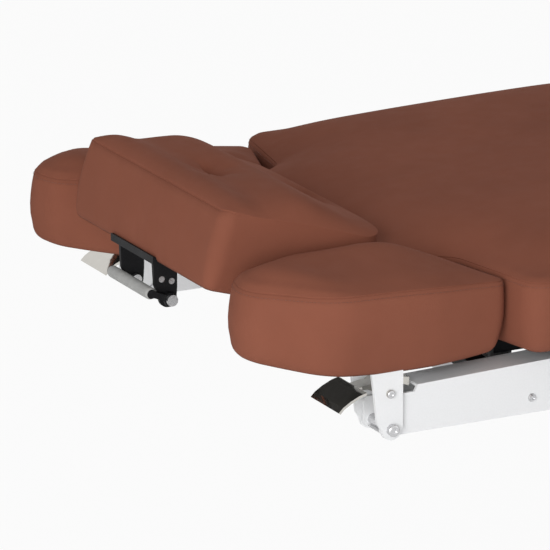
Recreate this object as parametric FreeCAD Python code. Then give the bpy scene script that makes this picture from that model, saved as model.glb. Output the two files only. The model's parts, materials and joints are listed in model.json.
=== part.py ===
import FreeCAD
import Part
import math
import os

os.makedirs("parts", exist_ok=True)

# Frame of the whole lounger: X runs from the head (-X) to the feet (+X), Y across, Z up.
# Most heights and stations are measured from the armrest pivots, which sit at
# x = PIVOT_X, z = PIVOT_Z.

# Overall
OVERALL_LENGTH = 1960.0
HEAD_REACH = 185.0
PIVOT_Z = 560.0
PIVOT_X = HEAD_REACH - OVERALL_LENGTH / 2

# Fits
SLIDE_GAP = 0.8
PIN_GAP = 0.3
PAD_GAP = 4.0

# Half width of the upholstered sections
PAD_HALF = 393.0

# Side rails
RAIL_INSET = 59.0
RAIL_Y = PAD_HALF - RAIL_INSET
RAIL_WIDTH = 46.0
RAIL_WALL = 4.0
RAIL_DROP = 11.0
RAIL_HEAD_TOP = 49.4
RAIL_SEAT_TOP = 66.0
RAIL_TAPER = 560.0
RAIL_NOTCH = 40.0
RAIL_OUT = RAIL_Y + RAIL_WIDTH / 2
RAIL_IN = RAIL_Y - RAIL_WIDTH / 2
CROSS_TUBE = 40.0
TUBE_WALL = 3.0
HEAD_CROSS_X = 203.0
CROSS_Z = CROSS_TUBE / 2 - RAIL_DROP
SCREW_R = 5.6

# Upholstered sections
PAD_BASE = 78.0
PAD_SEAM = 167.0
PAD_CROWN = 44.0
CROWN_REACH = 150.0
PAD_BULGE = 3.0
EDGE_ROLL = 14.0
SEAM_DRAW = 2.5
BOARD_T = 12.0
BOARD_INSET = 26.0
BACK_START = 82.0
BACK_LENGTH = 663.0
HEADREST_INSET = 195.0
HEADREST_HALF = PAD_HALF - HEADREST_INSET
NECK_HALF = HEADREST_HALF - 6.0
SHOULDER_IN_X = 74.0
SHOULDER_IN_Y = 51.0
SHOULDER_X = 102.0
SHOULDER_R = 42.0
SEAT_LENGTH = 375.0
LEG_END_R = 70.0

# Black tubes under the sections
SUB_TUBE = 28.0
SUB_INSET = 36.0
SUB_Y = RAIL_IN - SUB_INSET
SUB_TOP = PAD_BASE
BACK_TUBE_CLEAR = 28.0
STUB_SET = 46.0
STUB_LENGTH = 42.0
STUB_FOOT_Z = 36.0
STUB_HEIGHT = 12.0
MITRE = 14.0
SUB_LOW = SUB_TOP - SUB_TUBE

# Backrest hinge, at the height of the seam and outside the pads
HINGE_X = BACK_START + BACK_LENGTH + 5.0
HINGE_Z = PAD_SEAM
STRAP_T = 6.0
STRAP_PLATE = 8.0
STRAP_CLEAR = 1.5
STRAP_IN = PAD_HALF + PAD_BULGE + PAD_GAP
STRAP_OUT = STRAP_IN + STRAP_T
EAR_IN = STRAP_OUT + SLIDE_GAP
EAR_OUT = EAR_IN + STRAP_T
HINGE_R = 8.0
HINGE_HEAD_R = 13.0
HINGE_HEAD_T = 6.0
STRAP_EYE_R = 16.0
EAR_R = 18.0
EAR_FOOT_H = 40.0
SEAT_START = HINGE_X + 8.0
SEAT_END = SEAT_START + SEAT_LENGTH

# Leg rest hinge, under the boards
LEG_PIN_X = SEAT_END + 6.0
RAIL_EAR_R = 13.0
LEG_PIN_Z = RAIL_SEAT_TOP - RAIL_EAR_R
LEG_PIN_R = 7.0
LEG_START = LEG_PIN_X + 5.0
LEG_END = OVERALL_LENGTH - HEAD_REACH - PAD_BULGE

# Actuators: frame pin and moving pin stand equally far from the hinge they turn
ACT_TUBE_R = 18.0
ACT_ROD_R = 10.0
ACT_BORE_R = 11.5
ACT_EYE_R = 14.0
ACT_EYE_HALF = 23.0
ACT_PIN_R = 6.0
LUG_GAP_HALF = 24.0
LUG_T = 6.0
MOTOR_R = 28.0
MOTOR_LENGTH = 110.0
BACK_LUG_DX = 205.0
BACK_LUG_Z = 34.0
BACK_APEX = 68.0
BACK_ROD_SHOWN = 31.3
BACK_ROD_START = 38.0
LEG_LUG_DX = 175.0
LEG_LUG_Z = 20.0
LEG_APEX = 130.0
LEG_ROD_SHOWN = 87.8
LEG_ROD_START = 150.0

# Lifting columns, each of three nested box tubes
COLUMN_HEAD_BACK = 200.0
COLUMN_FOOT_ON = 150.0
COLUMN_HEAD_X = PIVOT_X + HINGE_X - COLUMN_HEAD_BACK
COLUMN_FOOT_X = PIVOT_X + HINGE_X + COLUMN_FOOT_ON
COLUMN_LX = 110.0
COLUMN_LY = 130.0
COLUMN_WALL = 3.0
COLUMN_STAGE = 240.0
COLUMN_RAISE = 200.0
COLUMN_STEP = 4.0
HEAD_PLATE_T = 10.0
HEAD_PLATE_LX = 100.0

# Base on the floor
FOOT_PAD_R = 27.0
FOOT_PAD_H = 22.0
BASE_H = 40.0
BASE_TOP = FOOT_PAD_H + BASE_H
SPINE_WIDTH = 140.0
CROSS_FOOT_LX = 60.0
CROSS_FOOT_HALF = 320.0
CROSS_FOOT_HEAD_REACH = 255.0
CROSS_FOOT_FOOT_REACH = 235.0
CROSS_FOOT_HEAD_X = COLUMN_HEAD_X - CROSS_FOOT_HEAD_REACH
CROSS_FOOT_FOOT_X = COLUMN_FOOT_X + CROSS_FOOT_FOOT_REACH
BOX_WIDTH = 116.0
BOX_H = 80.0
BOX_CLEAR = 20.0

# Armrests
ARM_PLATE_T = 5.0
ARM_SIDE_GAP = 2.5
ARM_OUT_IN = RAIL_OUT + ARM_SIDE_GAP
ARM_OUT_OUT = ARM_OUT_IN + ARM_PLATE_T
ARM_IN_OUT = RAIL_IN - ARM_SIDE_GAP
ARM_IN_IN = ARM_IN_OUT - ARM_PLATE_T
ARM_TILT = 3.7
ARM_SEAM = 175.0
ARM_CROWN = 27.0
ARM_CROWN_REACH = 58.0
ARM_BULGE = 4.0
ARM_WEB_T = 6.0
ARM_PIVOT_R = 5.0
ARM_TUBE_R = 7.0
ARM_HEAD_R = 7.5
ARM_BOSS_R = 14.0
# Seam outline in plan: distance from the pivot along X, from the rail's middle along Y, radius
ARM_PLAN = [
    (158.0, 19.0, 16.0),
    (58.0, 34.0, 200.0),
    (-100.0, 46.0, 90.0),
    (-186.0, -27.0, 45.0),
    (-173.0, -81.0, 40.0),
    (-91.0, -127.0, 110.0),
    (64.0, -127.0, 60.0),
    (125.0, -85.0, 40.0),
]
# Bracket: head and foot edge of its plates, and the wing that carries the board
ARM_BRACKET_HEAD = 29.0
ARM_BRACKET_FOOT = ARM_BOSS_R + 1.5
ARM_BRACKET_EDGE = [(-24.0, 43.0), (-20.0, 9.7)]
ARM_WING_HEAD = 30.0
ARM_WING_FOOT = 60.0
ARM_WING_IN = 60.0
ARM_WING_OUT = 22.0

# Armrest release paddle
KNOB_X = -3.0
KNOB_Z = 47.0
KNOB_R = 4.8
HUB_R = 8.0
PADDLE_IN = RAIL_Y - 40.0
PADDLE_OUT = RAIL_Y + 34.0
PADDLE_ARM_HALF = 12.0
# Side profiles of the bent sheet and of the arm behind it, from the armrest's pivot
PADDLE_SHEET = [
    (-37.0, 51.0),
    (-46.0, 48.5),
    (-58.0, 43.0),
    (-68.0, 37.0),
    (-73.5, 31.5),
    (-76.0, 33.5),
    (-70.0, 39.5),
    (-59.5, 46.0),
    (-47.0, 51.6),
    (-37.0, 54.2),
]
PADDLE_ARM = [
    (-39.0, 50.6),
    (-39.0, 53.6),
    (-24.0, 56.0),
    (KNOB_X, KNOB_Z + HUB_R),
    (20.0, 60.0),
    (34.0, 58.0),
    (34.0, 47.0),
    (26.0, 50.0),
    (12.0, 51.0),
    (KNOB_X, KNOB_Z - HUB_R),
    (-24.0, 50.0),
]

# Headrest, built flat from its back lower edge and then tilted
HEADREST_TILT = 16.5
HEADREST_LENGTH = 232.0
HEADREST_SIDE = 95.0
HEADREST_BACK_X = 51.0
HEADREST_BACK_Z = 96.0
HEADREST_BOARD_INSET = 10.0
HEAD_HINGE_X = 72.0
HEAD_HINGE_Z = 62.0
HEAD_HINGE_Y = 110.0
HEAD_HINGE_R = 5.0
HEAD_EYE_R = 10.0
HEAD_LEAF_T = 8.0
HEADREST_SWELL = 32.0
# Top of its side profile, from the head to the back edge: share of the length, share of the swell
HEADREST_TOP = [
    (0.974, 0.31),
    (0.905, 0.66),
    (0.853, 0.66),
    (0.797, 0.53),
    (0.741, 0.44),
    (0.690, 0.47),
    (0.620, 0.56),
    (0.540, 0.75),
    (0.460, 0.91),
    (0.390, 1.0),
    (0.310, 1.0),
    (0.172, 0.78),
    (0.086, 0.53),
    (0.034, 0.30),
]
# Its sections across: share of the half width, how far the ends draw in, share of the swell
HEADREST_ACROSS = [
    (1.0, 9.0, 0.25),
    (0.985, 3.0, 0.5),
    (0.93, 0.0, 0.81),
    (0.75, 0.0, 0.94),
    (0.4, 0.0, 1.0),
]
TUFT_FLOOR = HEADREST_SIDE + 9.0
TUFT_RIM = HEADREST_SIDE + HEADREST_SWELL + 8.0
TUFT_DEPTH = 12.0
TUFT_HALF = 34.0
TUFT_WIDE = 17.0
TUFT_FROM_BACK = [18.0, 150.0]

# Headrest release bracket and lever
LATCH_PIVOT_X = -151.0
LATCH_PIVOT_Z = 105.0
LATCH_Y = 45.0
LATCH_T = 5.0
LATCH_R = 12.0
LATCH_BOLT_R = 4.0
GRIP_X = -178.0
GRIP_Z = 116.0
GRIP_R = 7.0
GRIP_HALF = 50.0
LEVER_R = 4.0
LEVER_EYE_R = 9.0
BLOCK_T = 10.0
BLOCK_REACH = 72.0
LATCH_HEAD_X = LATCH_PIVOT_X - 21.0
LATCH_BACK_X = LATCH_PIVOT_X + 13.0
BLOCK_BACK_X = LATCH_PIVOT_X + 11.0
# Small bolt heads on the bracket's sides, from its pivot
LATCH_RIVETS = [(-9.0, 26.0), (5.0, 22.0)]
LATCH_RIVET_T = 0.7
# Edge of its plates: how far the head edge leans in and stands over the pivot, and the back edge's foot
LATCH_LEAN = 2.0
LATCH_HEAD_RISE = 19.0
LATCH_BACK_RISE = 13.0
LATCH_BOLT_IN = 6.0
LATCH_BOLT_TIP = 2.0
LATCH_BOLT_END = 5.0
LATCH_HEAD_OVER = 3.5
LATCH_NUT_OVER = 3.0
LEVER_CORNER_R = GRIP_R - 1.0

# Cuts run past the faces that they open
OVER = 1.0
LEAST_R = 4.0

# Actuators: places along them from the frame's pin, and drops under their axis
GEARBOX_START = 26.0
GEARBOX_END = 44.0
GEARBOX_DROP = 24.0
GEARBOX_OVER = 2.0
MOTOR_START = 36.0
MOTOR_DROP = 45.0
BORE_START = 34.0

# Feet, control box and mains inlet; the inlet's sizes are half widths and half heights
FOOT_PAD_SET = 8.0
FOOT_PAD_TAPER = 4.0
BOX_EDGE_R = 8.0
INLET_FLANGE = (25.0, 14.0)
INLET_COLLAR = (15.0, 11.0)
INLET_SOCKET = (12.0, 8.0)
INLET_FLANGE_T = 3.0
INLET_COLLAR_T = 8.0

# Head end of the rails from the notch round the armrest's pivot, and their foot end
RAIL_NOTCH_FLOOR = 42.0
RAIL_NOTCH_SLANT = 4.0
RAIL_NOSE = [(18.0, RAIL_NOTCH_FLOOR), (10.0, 30.0), (-8.0, 30.0), (-12.0, 24.0), (-12.0, -4.0)]
RAIL_NOSE_LOW = -4.0
RAIL_OPEN_X = -20.0
RAIL_END_CUT = 14.0
RAIL_END_SOLID = 40.0
SCREW_TAPER = 2.0
SCREW_H = 3.5
SCREW_RECESS_R = 2.2
SCREW_RECESS = 2.0
BUMPER_INSET = 5.0

# Corners of the pads in plan, and pieces under the sections
PAD_CORNER_R = 18.0
NECK_R = 24.0
SHOULDER_IN_R = 30.0
STRAP_HEAD = 45.0
STRAP_FOOT = 8.0
BACK_TUBE_END = 15.0
LEG_TUBE_SET = 60.0
PIN_HEAD_T = 4.0
LEG_PIN_HEAD_OVER = 4.0
HEAD_PIN_HEAD_OVER = 3.0
KNOB_IN = 4.0
KNOB_OUT = 3.0
KNOB_HEAD_OVER = 0.6
ARM_HEAD_T = 5.0

# Ends of the headrest's side profile: distance past the end, height and share of the side's height
HEADREST_HEAD_END = [(-14.0, 0.0, 0.0), (-4.0, 10.0, 0.0), (1.0, 0.0, 0.45), (2.0, 0.0, 0.8), (2.0, 0.0, 1.0)]
HEADREST_BACK_END = [(-1.0, -8.0, 1.0), (3.0, 0.0, 0.5), (-3.0, 12.0, 0.0)]
HEADREST_DRAW_SHARE = 0.4
TUFT_FLOOR_WIDE = 1.0
TUFT_FLOOR_HALF = 4.0
HEADREST_BOARD_BACK = 8.0

# Headrest hinge: leaf from its head end to its back end, and the forks on the backrest's tube
LEAF_HEAD_X = -60.0
LEAF_BACK_X = 26.0
LEAF_EDGE = 8.0
LEAF_TURN = 4.0
LEAF_EASE = 1.0
FORK_LOW = 2.0
FORK_TOP = 3.0
BRIDGE_LENGTH = 20.0
BRIDGE_TOP = 4.0


def at(x, y, z):
    """Point given from the armrest pivots."""
    return FreeCAD.Vector(PIVOT_X + x, y, PIVOT_Z + z)


def box(x0, x1, y0, y1, z0, z1):
    """Box given from the armrest pivots."""
    return Part.makeBox(x1 - x0, y1 - y0, z1 - z0, at(x0, y0, z0))


def floor_box(x0, x1, y0, y1, z0, z1):
    """Box given from the floor and the middle of the lounger."""
    return Part.makeBox(x1 - x0, y1 - y0, z1 - z0, FreeCAD.Vector(x0, y0, z0))


def pin(x, z, r, y0, y1):
    """Round bar across the lounger."""
    return Part.makeCylinder(r, y1 - y0, at(x, y0, z), FreeCAD.Vector(0, 1, 0))


def plate(points, y0, y1):
    """Flat plate standing along the length, outline in X and Z."""
    corners = [at(x, y0, z) for x, z in points]
    face = Part.Face(Part.makePolygon(corners + corners[:1]))
    return face.extrude(FreeCAD.Vector(0, y1 - y0, 0))


def tube_along(x0, x1, y0, y1, z0, z1):
    """Square tube running along X, open at its ends."""
    hollow = box(x0, x1, y0 + TUBE_WALL, y1 - TUBE_WALL, z0 + TUBE_WALL, z1 - TUBE_WALL)
    return box(x0, x1, y0, y1, z0, z1).cut(hollow)


def tube_across(x0, x1, y0, y1, z0, z1):
    """Square tube running along Y, open at its ends."""
    hollow = box(x0 + TUBE_WALL, x1 - TUBE_WALL, y0, y1, z0 + TUBE_WALL, z1 - TUBE_WALL)
    return box(x0, x1, y0, y1, z0, z1).cut(hollow)


def mirrored(shape):
    return shape.mirror(FreeCAD.Vector(0, 0, 0), FreeCAD.Vector(0, 1, 0))


def both_sides(shape):
    """The piece at +Y and its mirror image."""
    return Part.makeCompound([shape, mirrored(shape)])


def fused(*shapes):
    return shapes[0].multiFuse(list(shapes[1:])).removeSplitter()


def save(name, shape):
    shape.exportStep("parts/" + name + ".step")


def plan_wire(corners, inset, z):
    """Closed plan outline with rounded corners, drawn in by inset; corners run anticlockwise."""
    count = len(corners)
    edges = []
    for i in range(count):
        ax, ay, _ = corners[i]
        bx, by, _ = corners[(i + 1) % count]
        length = math.hypot(bx - ax, by - ay)
        dx = (bx - ax) / length
        dy = (by - ay) / length
        edges.append((ax - dy * inset, ay + dx * inset, dx, dy))
    joints = []
    for i in range(count):
        px, py, pdx, pdy = edges[i - 1]
        qx, qy, qdx, qdy = edges[i]
        cross = pdx * qdy - pdy * qdx
        t = ((qx - px) * qdy - (qy - py) * qdx) / cross
        vx = px + pdx * t
        vy = py + pdy * t
        radius = corners[i][2]
        turn = math.atan2(cross, pdx * qdx + pdy * qdy)
        if turn > 0:
            radius = max(radius - inset, LEAST_R)
        else:
            radius = radius + inset
        reach = radius * math.tan(abs(turn) / 2)
        sag = radius / math.cos(turn / 2) - radius
        bx = qdx - pdx
        by = qdy - pdy
        size = math.hypot(bx, by)
        start = at(vx - pdx * reach, vy - pdy * reach, z)
        end = at(vx + qdx * reach, vy + qdy * reach, z)
        middle = at(vx + bx / size * sag, vy + by / size * sag, z)
        joints.append((start, middle, end))
    parts = []
    for i in range(count):
        start, middle, end = joints[i]
        parts.append(Part.Arc(start, middle, end).toShape())
        parts.append(Part.makeLine(end, joints[(i + 1) % count][0]))
    return Part.Wire(parts)


def crowned_pad(corners, base, seam, crown, reach, bulge):
    """Cushion with rolled lower edge, full sides, a drawn-in seam and a crowned top."""
    side = seam - base
    levels = [
        (base, EDGE_ROLL),
        (base + 0.07 * side, 0.42 * EDGE_ROLL),
        (base + 0.22 * side, 0.0),
        (base + 0.5 * side, -bulge),
        (base + 0.82 * side, -0.6 * bulge),
        (seam, SEAM_DRAW),
        (seam + 0.28 * crown, 0.09 * reach),
        (seam + 0.55 * crown, 0.22 * reach),
        (seam + 0.79 * crown, 0.44 * reach),
        (seam + 0.94 * crown, 0.72 * reach),
        (seam + crown, reach),
    ]
    return Part.makeLoft([plan_wire(corners, inset, z) for z, inset in levels], True, True)


def flat_board(corners, inset, z0, z1):
    face = Part.Face(plan_wire(corners, inset, z0))
    return face.extrude(FreeCAD.Vector(0, 0, z1 - z0))


def box_corners(x0, x1, half, head_r, foot_r):
    return [
        (x0, -half, head_r),
        (x1, -half, foot_r),
        (x1, half, foot_r),
        (x0, half, head_r),
    ]


def lugs(x, z, top):
    """Pair of hanging lugs with the actuator pin between them."""
    pieces = []
    for side in (-1, 1):
        y0 = min(side * LUG_GAP_HALF, side * (LUG_GAP_HALF + LUG_T))
        pieces.append(box(x - ACT_EYE_R, x + ACT_EYE_R, y0, y0 + LUG_T, z, top))
        pieces.append(pin(x, z, ACT_EYE_R, y0, y0 + LUG_T))
    reach = LUG_GAP_HALF + LUG_T
    pieces.append(pin(x, z, ACT_PIN_R, -reach, reach))
    return pieces


def eye(x, z):
    return pin(x, z, ACT_EYE_R, -ACT_EYE_HALF, ACT_EYE_HALF)


def pin_hole(x, z):
    return pin(x, z, ACT_PIN_R + PIN_GAP, -ACT_EYE_HALF, ACT_EYE_HALF)


def round_between(ax, az, bx, bz, r, s0, s1, off):
    """Round bar in the middle plane, from s0 to s1 along A to B and off below that line."""
    length = math.hypot(bx - ax, bz - az)
    ux = (bx - ax) / length
    uz = (bz - az) / length
    down = 1.0 if ux > 0 else -1.0
    start = at(ax + ux * s0 + down * uz * off, 0, az + uz * s0 - down * ux * off)
    return Part.makeCylinder(r, s1 - s0, start, FreeCAD.Vector(ux, 0, uz))


def actuator(ax, az, bx, bz, rod_shown, rod_start):
    """Linear actuator from the frame pin A to the moving pin B: body with motor, and rod."""
    length = math.hypot(bx - ax, bz - az)
    tube_length = length - rod_shown
    tube = round_between(ax, az, bx, bz, ACT_TUBE_R, 0, tube_length, 0)
    motor_end = MOTOR_START + MOTOR_LENGTH
    motor = round_between(ax, az, bx, bz, MOTOR_R, MOTOR_START, motor_end, MOTOR_DROP)
    gear_r = MOTOR_R + GEARBOX_OVER
    gearbox = round_between(ax, az, bx, bz, gear_r, GEARBOX_START, GEARBOX_END, GEARBOX_DROP)
    bore = round_between(ax, az, bx, bz, ACT_BORE_R, BORE_START, tube_length, 0)
    body = fused(tube, motor, gearbox, eye(ax, az)).cut(bore).cut(pin_hole(ax, az))
    rod = round_between(ax, az, bx, bz, ACT_ROD_R, rod_start, length, 0)
    rod = fused(rod, eye(bx, bz)).cut(pin_hole(bx, bz))
    return body, rod


# Base on the floor
spine_x0 = CROSS_FOOT_HEAD_X + CROSS_FOOT_LX / 2
spine_x1 = CROSS_FOOT_FOOT_X - CROSS_FOOT_LX / 2
half = SPINE_WIDTH / 2
spine = floor_box(spine_x0, spine_x1, -half, half, FOOT_PAD_H, BASE_TOP)
inner = half - COLUMN_WALL
spine_hollow = floor_box(
    spine_x0, spine_x1, -inner, inner, FOOT_PAD_H + COLUMN_WALL, BASE_TOP - COLUMN_WALL
)
save("base_spine", spine.cut(spine_hollow))

feet = []
for name, foot_x in (("head", CROSS_FOOT_HEAD_X), ("foot", CROSS_FOOT_FOOT_X)):
    x0 = foot_x - CROSS_FOOT_LX / 2
    x1 = foot_x + CROSS_FOOT_LX / 2
    beam = floor_box(x0, x1, -CROSS_FOOT_HALF, CROSS_FOOT_HALF, FOOT_PAD_H, BASE_TOP)
    hollow = floor_box(
        x0 + COLUMN_WALL,
        x1 - COLUMN_WALL,
        COLUMN_WALL - CROSS_FOOT_HALF,
        CROSS_FOOT_HALF - COLUMN_WALL,
        FOOT_PAD_H + COLUMN_WALL,
        BASE_TOP - COLUMN_WALL,
    )
    save("base_cross_foot_" + name, beam.cut(hollow))
    for side in (-1, 1):
        y = side * (CROSS_FOOT_HALF - FOOT_PAD_R - FOOT_PAD_SET)
        place = FreeCAD.Vector(foot_x, y, 0)
        feet.append(Part.makeCone(FOOT_PAD_R, FOOT_PAD_R - FOOT_PAD_TAPER, FOOT_PAD_H, place))
save("rubber_feet", Part.makeCompound(feet))

box_x0 = COLUMN_HEAD_X + COLUMN_LX / 2 + BOX_CLEAR
box_x1 = COLUMN_FOOT_X - COLUMN_LX / 2 - BOX_CLEAR
half = BOX_WIDTH / 2
case = floor_box(box_x0, box_x1, -half, half, BASE_TOP, BASE_TOP + BOX_H)
rounded = [e for e in case.Edges if abs(e.tangentAt(e.FirstParameter).z) > 0.9]
save("control_box", case.makeFillet(BOX_EDGE_R, rounded))
inlet_x = (box_x0 + box_x1) / 2
inlet_z = BASE_TOP + BOX_H / 2


def inlet_block(size, y0, y1):
    wide, high = size
    return floor_box(inlet_x - wide, inlet_x + wide, y0, y1, inlet_z - high, inlet_z + high)


flange_y = half + INLET_FLANGE_T
collar_y = flange_y + INLET_COLLAR_T
collar = inlet_block(INLET_COLLAR, flange_y, collar_y).cut(inlet_block(INLET_SOCKET, flange_y, collar_y))
save("mains_inlet", fused(inlet_block(INLET_FLANGE, half, flange_y), collar))

# Lifting columns
plate_top = PIVOT_Z - RAIL_DROP
plate_low = plate_top - HEAD_PLATE_T
head_plates = []
for name, column_x in (("head", COLUMN_HEAD_X), ("foot", COLUMN_FOOT_X)):
    stages = (
        ("outer", BASE_TOP, BASE_TOP + COLUMN_STAGE),
        (
            "middle",
            BASE_TOP + COLUMN_STEP + COLUMN_RAISE / 2,
            BASE_TOP + 2 * COLUMN_STEP + COLUMN_STAGE + COLUMN_RAISE / 2,
        ),
        ("inner", BASE_TOP + 2 * COLUMN_STEP + COLUMN_RAISE, plate_low),
    )
    for step, (stage, z0, z1) in enumerate(stages):
        dx = COLUMN_LX / 2 - step * (COLUMN_WALL + SLIDE_GAP)
        dy = COLUMN_LY / 2 - step * (COLUMN_WALL + SLIDE_GAP)
        tube = floor_box(column_x - dx, column_x + dx, -dy, dy, z0, z1)
        wx = dx - COLUMN_WALL
        wy = dy - COLUMN_WALL
        hollow = floor_box(column_x - wx, column_x + wx, -wy, wy, z0, z1)
        save("column_" + stage + "_" + name, tube.cut(hollow))
    x0 = column_x - HEAD_PLATE_LX / 2
    x1 = column_x + HEAD_PLATE_LX / 2
    head_plates.append(floor_box(x0, x1, -RAIL_OUT, RAIL_OUT, plate_low, plate_top))
save("column_head_plates", Part.makeCompound(head_plates))

# Side rails: box beams, deeper towards the seat, open at the head round the armrest pivot
rail_low = -RAIL_DROP
slope = (RAIL_SEAT_TOP - RAIL_HEAD_TOP) / RAIL_TAPER
notch_top = RAIL_HEAD_TOP + slope * RAIL_NOTCH
outline = [
    (RAIL_NOSE_LOW, rail_low),
    (LEG_PIN_X - RAIL_END_CUT, rail_low),
    (LEG_PIN_X, rail_low + RAIL_END_CUT),
    (LEG_PIN_X, RAIL_SEAT_TOP),
    (RAIL_TAPER, RAIL_SEAT_TOP),
    (RAIL_NOTCH, notch_top),
    (RAIL_NOTCH - RAIL_NOTCH_SLANT, RAIL_NOTCH_FLOOR),
    *RAIL_NOSE,
]
rail = plate(outline, RAIL_IN, RAIL_OUT)
rail = fused(rail, pin(LEG_PIN_X, LEG_PIN_Z, RAIL_EAR_R, RAIL_IN, RAIL_OUT))
hollow = plate(
    [
        (RAIL_OPEN_X, rail_low + RAIL_WALL),
        (LEG_PIN_X - RAIL_END_SOLID, rail_low + RAIL_WALL),
        (LEG_PIN_X - RAIL_END_SOLID, RAIL_SEAT_TOP - RAIL_WALL),
        (RAIL_TAPER, RAIL_SEAT_TOP - RAIL_WALL),
        (RAIL_NOTCH, notch_top - RAIL_WALL),
        (RAIL_NOTCH, notch_top + RAIL_WALL),
        (RAIL_OPEN_X, notch_top + RAIL_WALL),
    ],
    RAIL_IN + RAIL_WALL,
    RAIL_OUT - RAIL_WALL,
)
rail = rail.cut(hollow)
rail = rail.cut(pin(0, 0, ARM_PIVOT_R + PIN_GAP, RAIL_IN - OVER, RAIL_OUT + OVER))
rail = rail.cut(pin(LEG_PIN_X, LEG_PIN_Z, LEG_PIN_R + PIN_GAP, RAIL_IN - OVER, RAIL_OUT + OVER))
save("side_rail_left", rail)
save("side_rail_right", mirrored(rail))

# Where the actuators are pinned
back_b = (HINGE_X - BACK_LUG_DX, BACK_LUG_Z)
back_arm = math.hypot(back_b[0] - HINGE_X, back_b[1] - HINGE_Z)
back_polar = math.atan2(back_b[1] - HINGE_Z, back_b[0] - HINGE_X) + math.radians(BACK_APEX)
back_a = (HINGE_X + back_arm * math.cos(back_polar), HINGE_Z + back_arm * math.sin(back_polar))
leg_b = (LEG_PIN_X + LEG_LUG_DX, LEG_LUG_Z)
leg_arm = math.hypot(leg_b[0] - LEG_PIN_X, leg_b[1] - LEG_PIN_Z)
leg_polar = math.atan2(leg_b[1] - LEG_PIN_Z, leg_b[0] - LEG_PIN_X) - math.radians(LEG_APEX)
leg_a = (LEG_PIN_X + leg_arm * math.cos(leg_polar), LEG_PIN_Z + leg_arm * math.sin(leg_polar))

# Cross tubes between the rails
tube_half = CROSS_TUBE / 2
cross_z0 = CROSS_Z - tube_half
cross_z1 = CROSS_Z + tube_half


def cross_tube(x):
    return tube_across(x - tube_half, x + tube_half, -RAIL_IN, RAIL_IN, cross_z0, cross_z1)


save("cross_tube_head", cross_tube(HEAD_CROSS_X))
save("cross_tube_middle", fused(cross_tube(back_a[0]), *lugs(*back_a, cross_z0)))
save("cross_tube_foot", fused(cross_tube(leg_a[0]), *lugs(*leg_a, cross_z0)))

screws = []
for x in (HEAD_CROSS_X, back_a[0], leg_a[0]):
    for side in (-1, 1):
        start = at(x, side * RAIL_OUT, CROSS_Z)
        head = Part.makeCone(SCREW_R, SCREW_R - SCREW_TAPER, SCREW_H, start, FreeCAD.Vector(0, side, 0))
        floor = at(x, side * (RAIL_OUT + SCREW_H - SCREW_RECESS), CROSS_Z)
        recess = Part.makeCylinder(SCREW_RECESS_R, SCREW_RECESS, floor)
        recess.rotate(floor, FreeCAD.Vector(1, 0, 0), -90 * side)
        screws.append(head.cut(recess))
save("rail_screws", Part.makeCompound(screws))

# Rest blocks under the backrest tubes
block = tube_half - BUMPER_INSET
blocks = Part.makeCylinder(block, SUB_LOW - cross_z1, at(HEAD_CROSS_X, SUB_Y, cross_z1))
save("rest_bumpers", both_sides(blocks))

# Seat
seat_plan = box_corners(SEAT_START, SEAT_END, PAD_HALF, PAD_CORNER_R, PAD_CORNER_R)
seat_board = flat_board(seat_plan, BOARD_INSET, RAIL_SEAT_TOP, PAD_BASE + BOARD_T)
seat_pad = crowned_pad(seat_plan, PAD_BASE, PAD_SEAM, PAD_CROWN, CROWN_REACH, PAD_BULGE)
save("seat_pad", seat_pad.cut(seat_board))
save("seat_board", seat_board)

# Backrest
shoulder_x = BACK_START + SHOULDER_X
back_half = [
    (BACK_START, -NECK_HALF, NECK_R),
    (BACK_START + SHOULDER_IN_X, -NECK_HALF - SHOULDER_IN_Y, SHOULDER_IN_R),
    (shoulder_x, -PAD_HALF, SHOULDER_R),
    (BACK_START + BACK_LENGTH, -PAD_HALF, PAD_CORNER_R),
]
back_plan = back_half + [(x, -y, r) for x, y, r in reversed(back_half)]
back_pad = crowned_pad(back_plan, PAD_BASE, PAD_SEAM, PAD_CROWN, CROWN_REACH, PAD_BULGE)
back_board = flat_board(back_plan, BOARD_INSET, PAD_BASE, PAD_BASE + BOARD_T)
save("backrest_pad", back_pad.cut(back_board))
save("back_board", back_board)
sub_in = SUB_Y - SUB_TUBE / 2
sub_out = SUB_Y + SUB_TUBE / 2
back_tube_x0 = ARM_PLAN[0][0] + BACK_TUBE_CLEAR
back_tube_x1 = HINGE_X - BACK_TUBE_END
back_tube = tube_along(back_tube_x0, back_tube_x1, sub_in, sub_out, SUB_LOW, SUB_TOP)
save("back_side_tubes", both_sides(back_tube))
back_cross = tube_across(
    back_tube_x0 + MITRE, back_tube_x0 + MITRE + SUB_TUBE, -sub_in, sub_in, SUB_LOW, SUB_TOP
)
save("back_cross_tube_head", back_cross)
back_cross = tube_across(
    back_b[0] - SUB_TUBE / 2, back_b[0] + SUB_TUBE / 2, -sub_in, sub_in, SUB_LOW, SUB_TOP
)
save("back_cross_tube_foot", fused(back_cross, *lugs(*back_b, SUB_LOW)))

# Black brackets on the rails, under the backrest's shoulders
stub_x0 = BACK_START + STUB_SET
stub_x1 = stub_x0 + STUB_LENGTH
stub_top = SUB_LOW + STUB_HEIGHT
stub = fused(
    box(stub_x0, stub_x1, sub_in, sub_out, SUB_LOW, stub_top),
    box(stub_x0 + MITRE, stub_x1, sub_in, RAIL_IN, STUB_FOOT_Z, SUB_LOW),
)
mitre = plate(
    [
        (stub_x0 - OVER, stub_top - STUB_HEIGHT / 4),
        (stub_x0 + MITRE, SUB_LOW),
        (stub_x0 - OVER, SUB_LOW),
    ],
    sub_in - OVER,
    sub_out + OVER,
)
save("shoulder_brackets", both_sides(stub.cut(mitre)))

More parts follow.
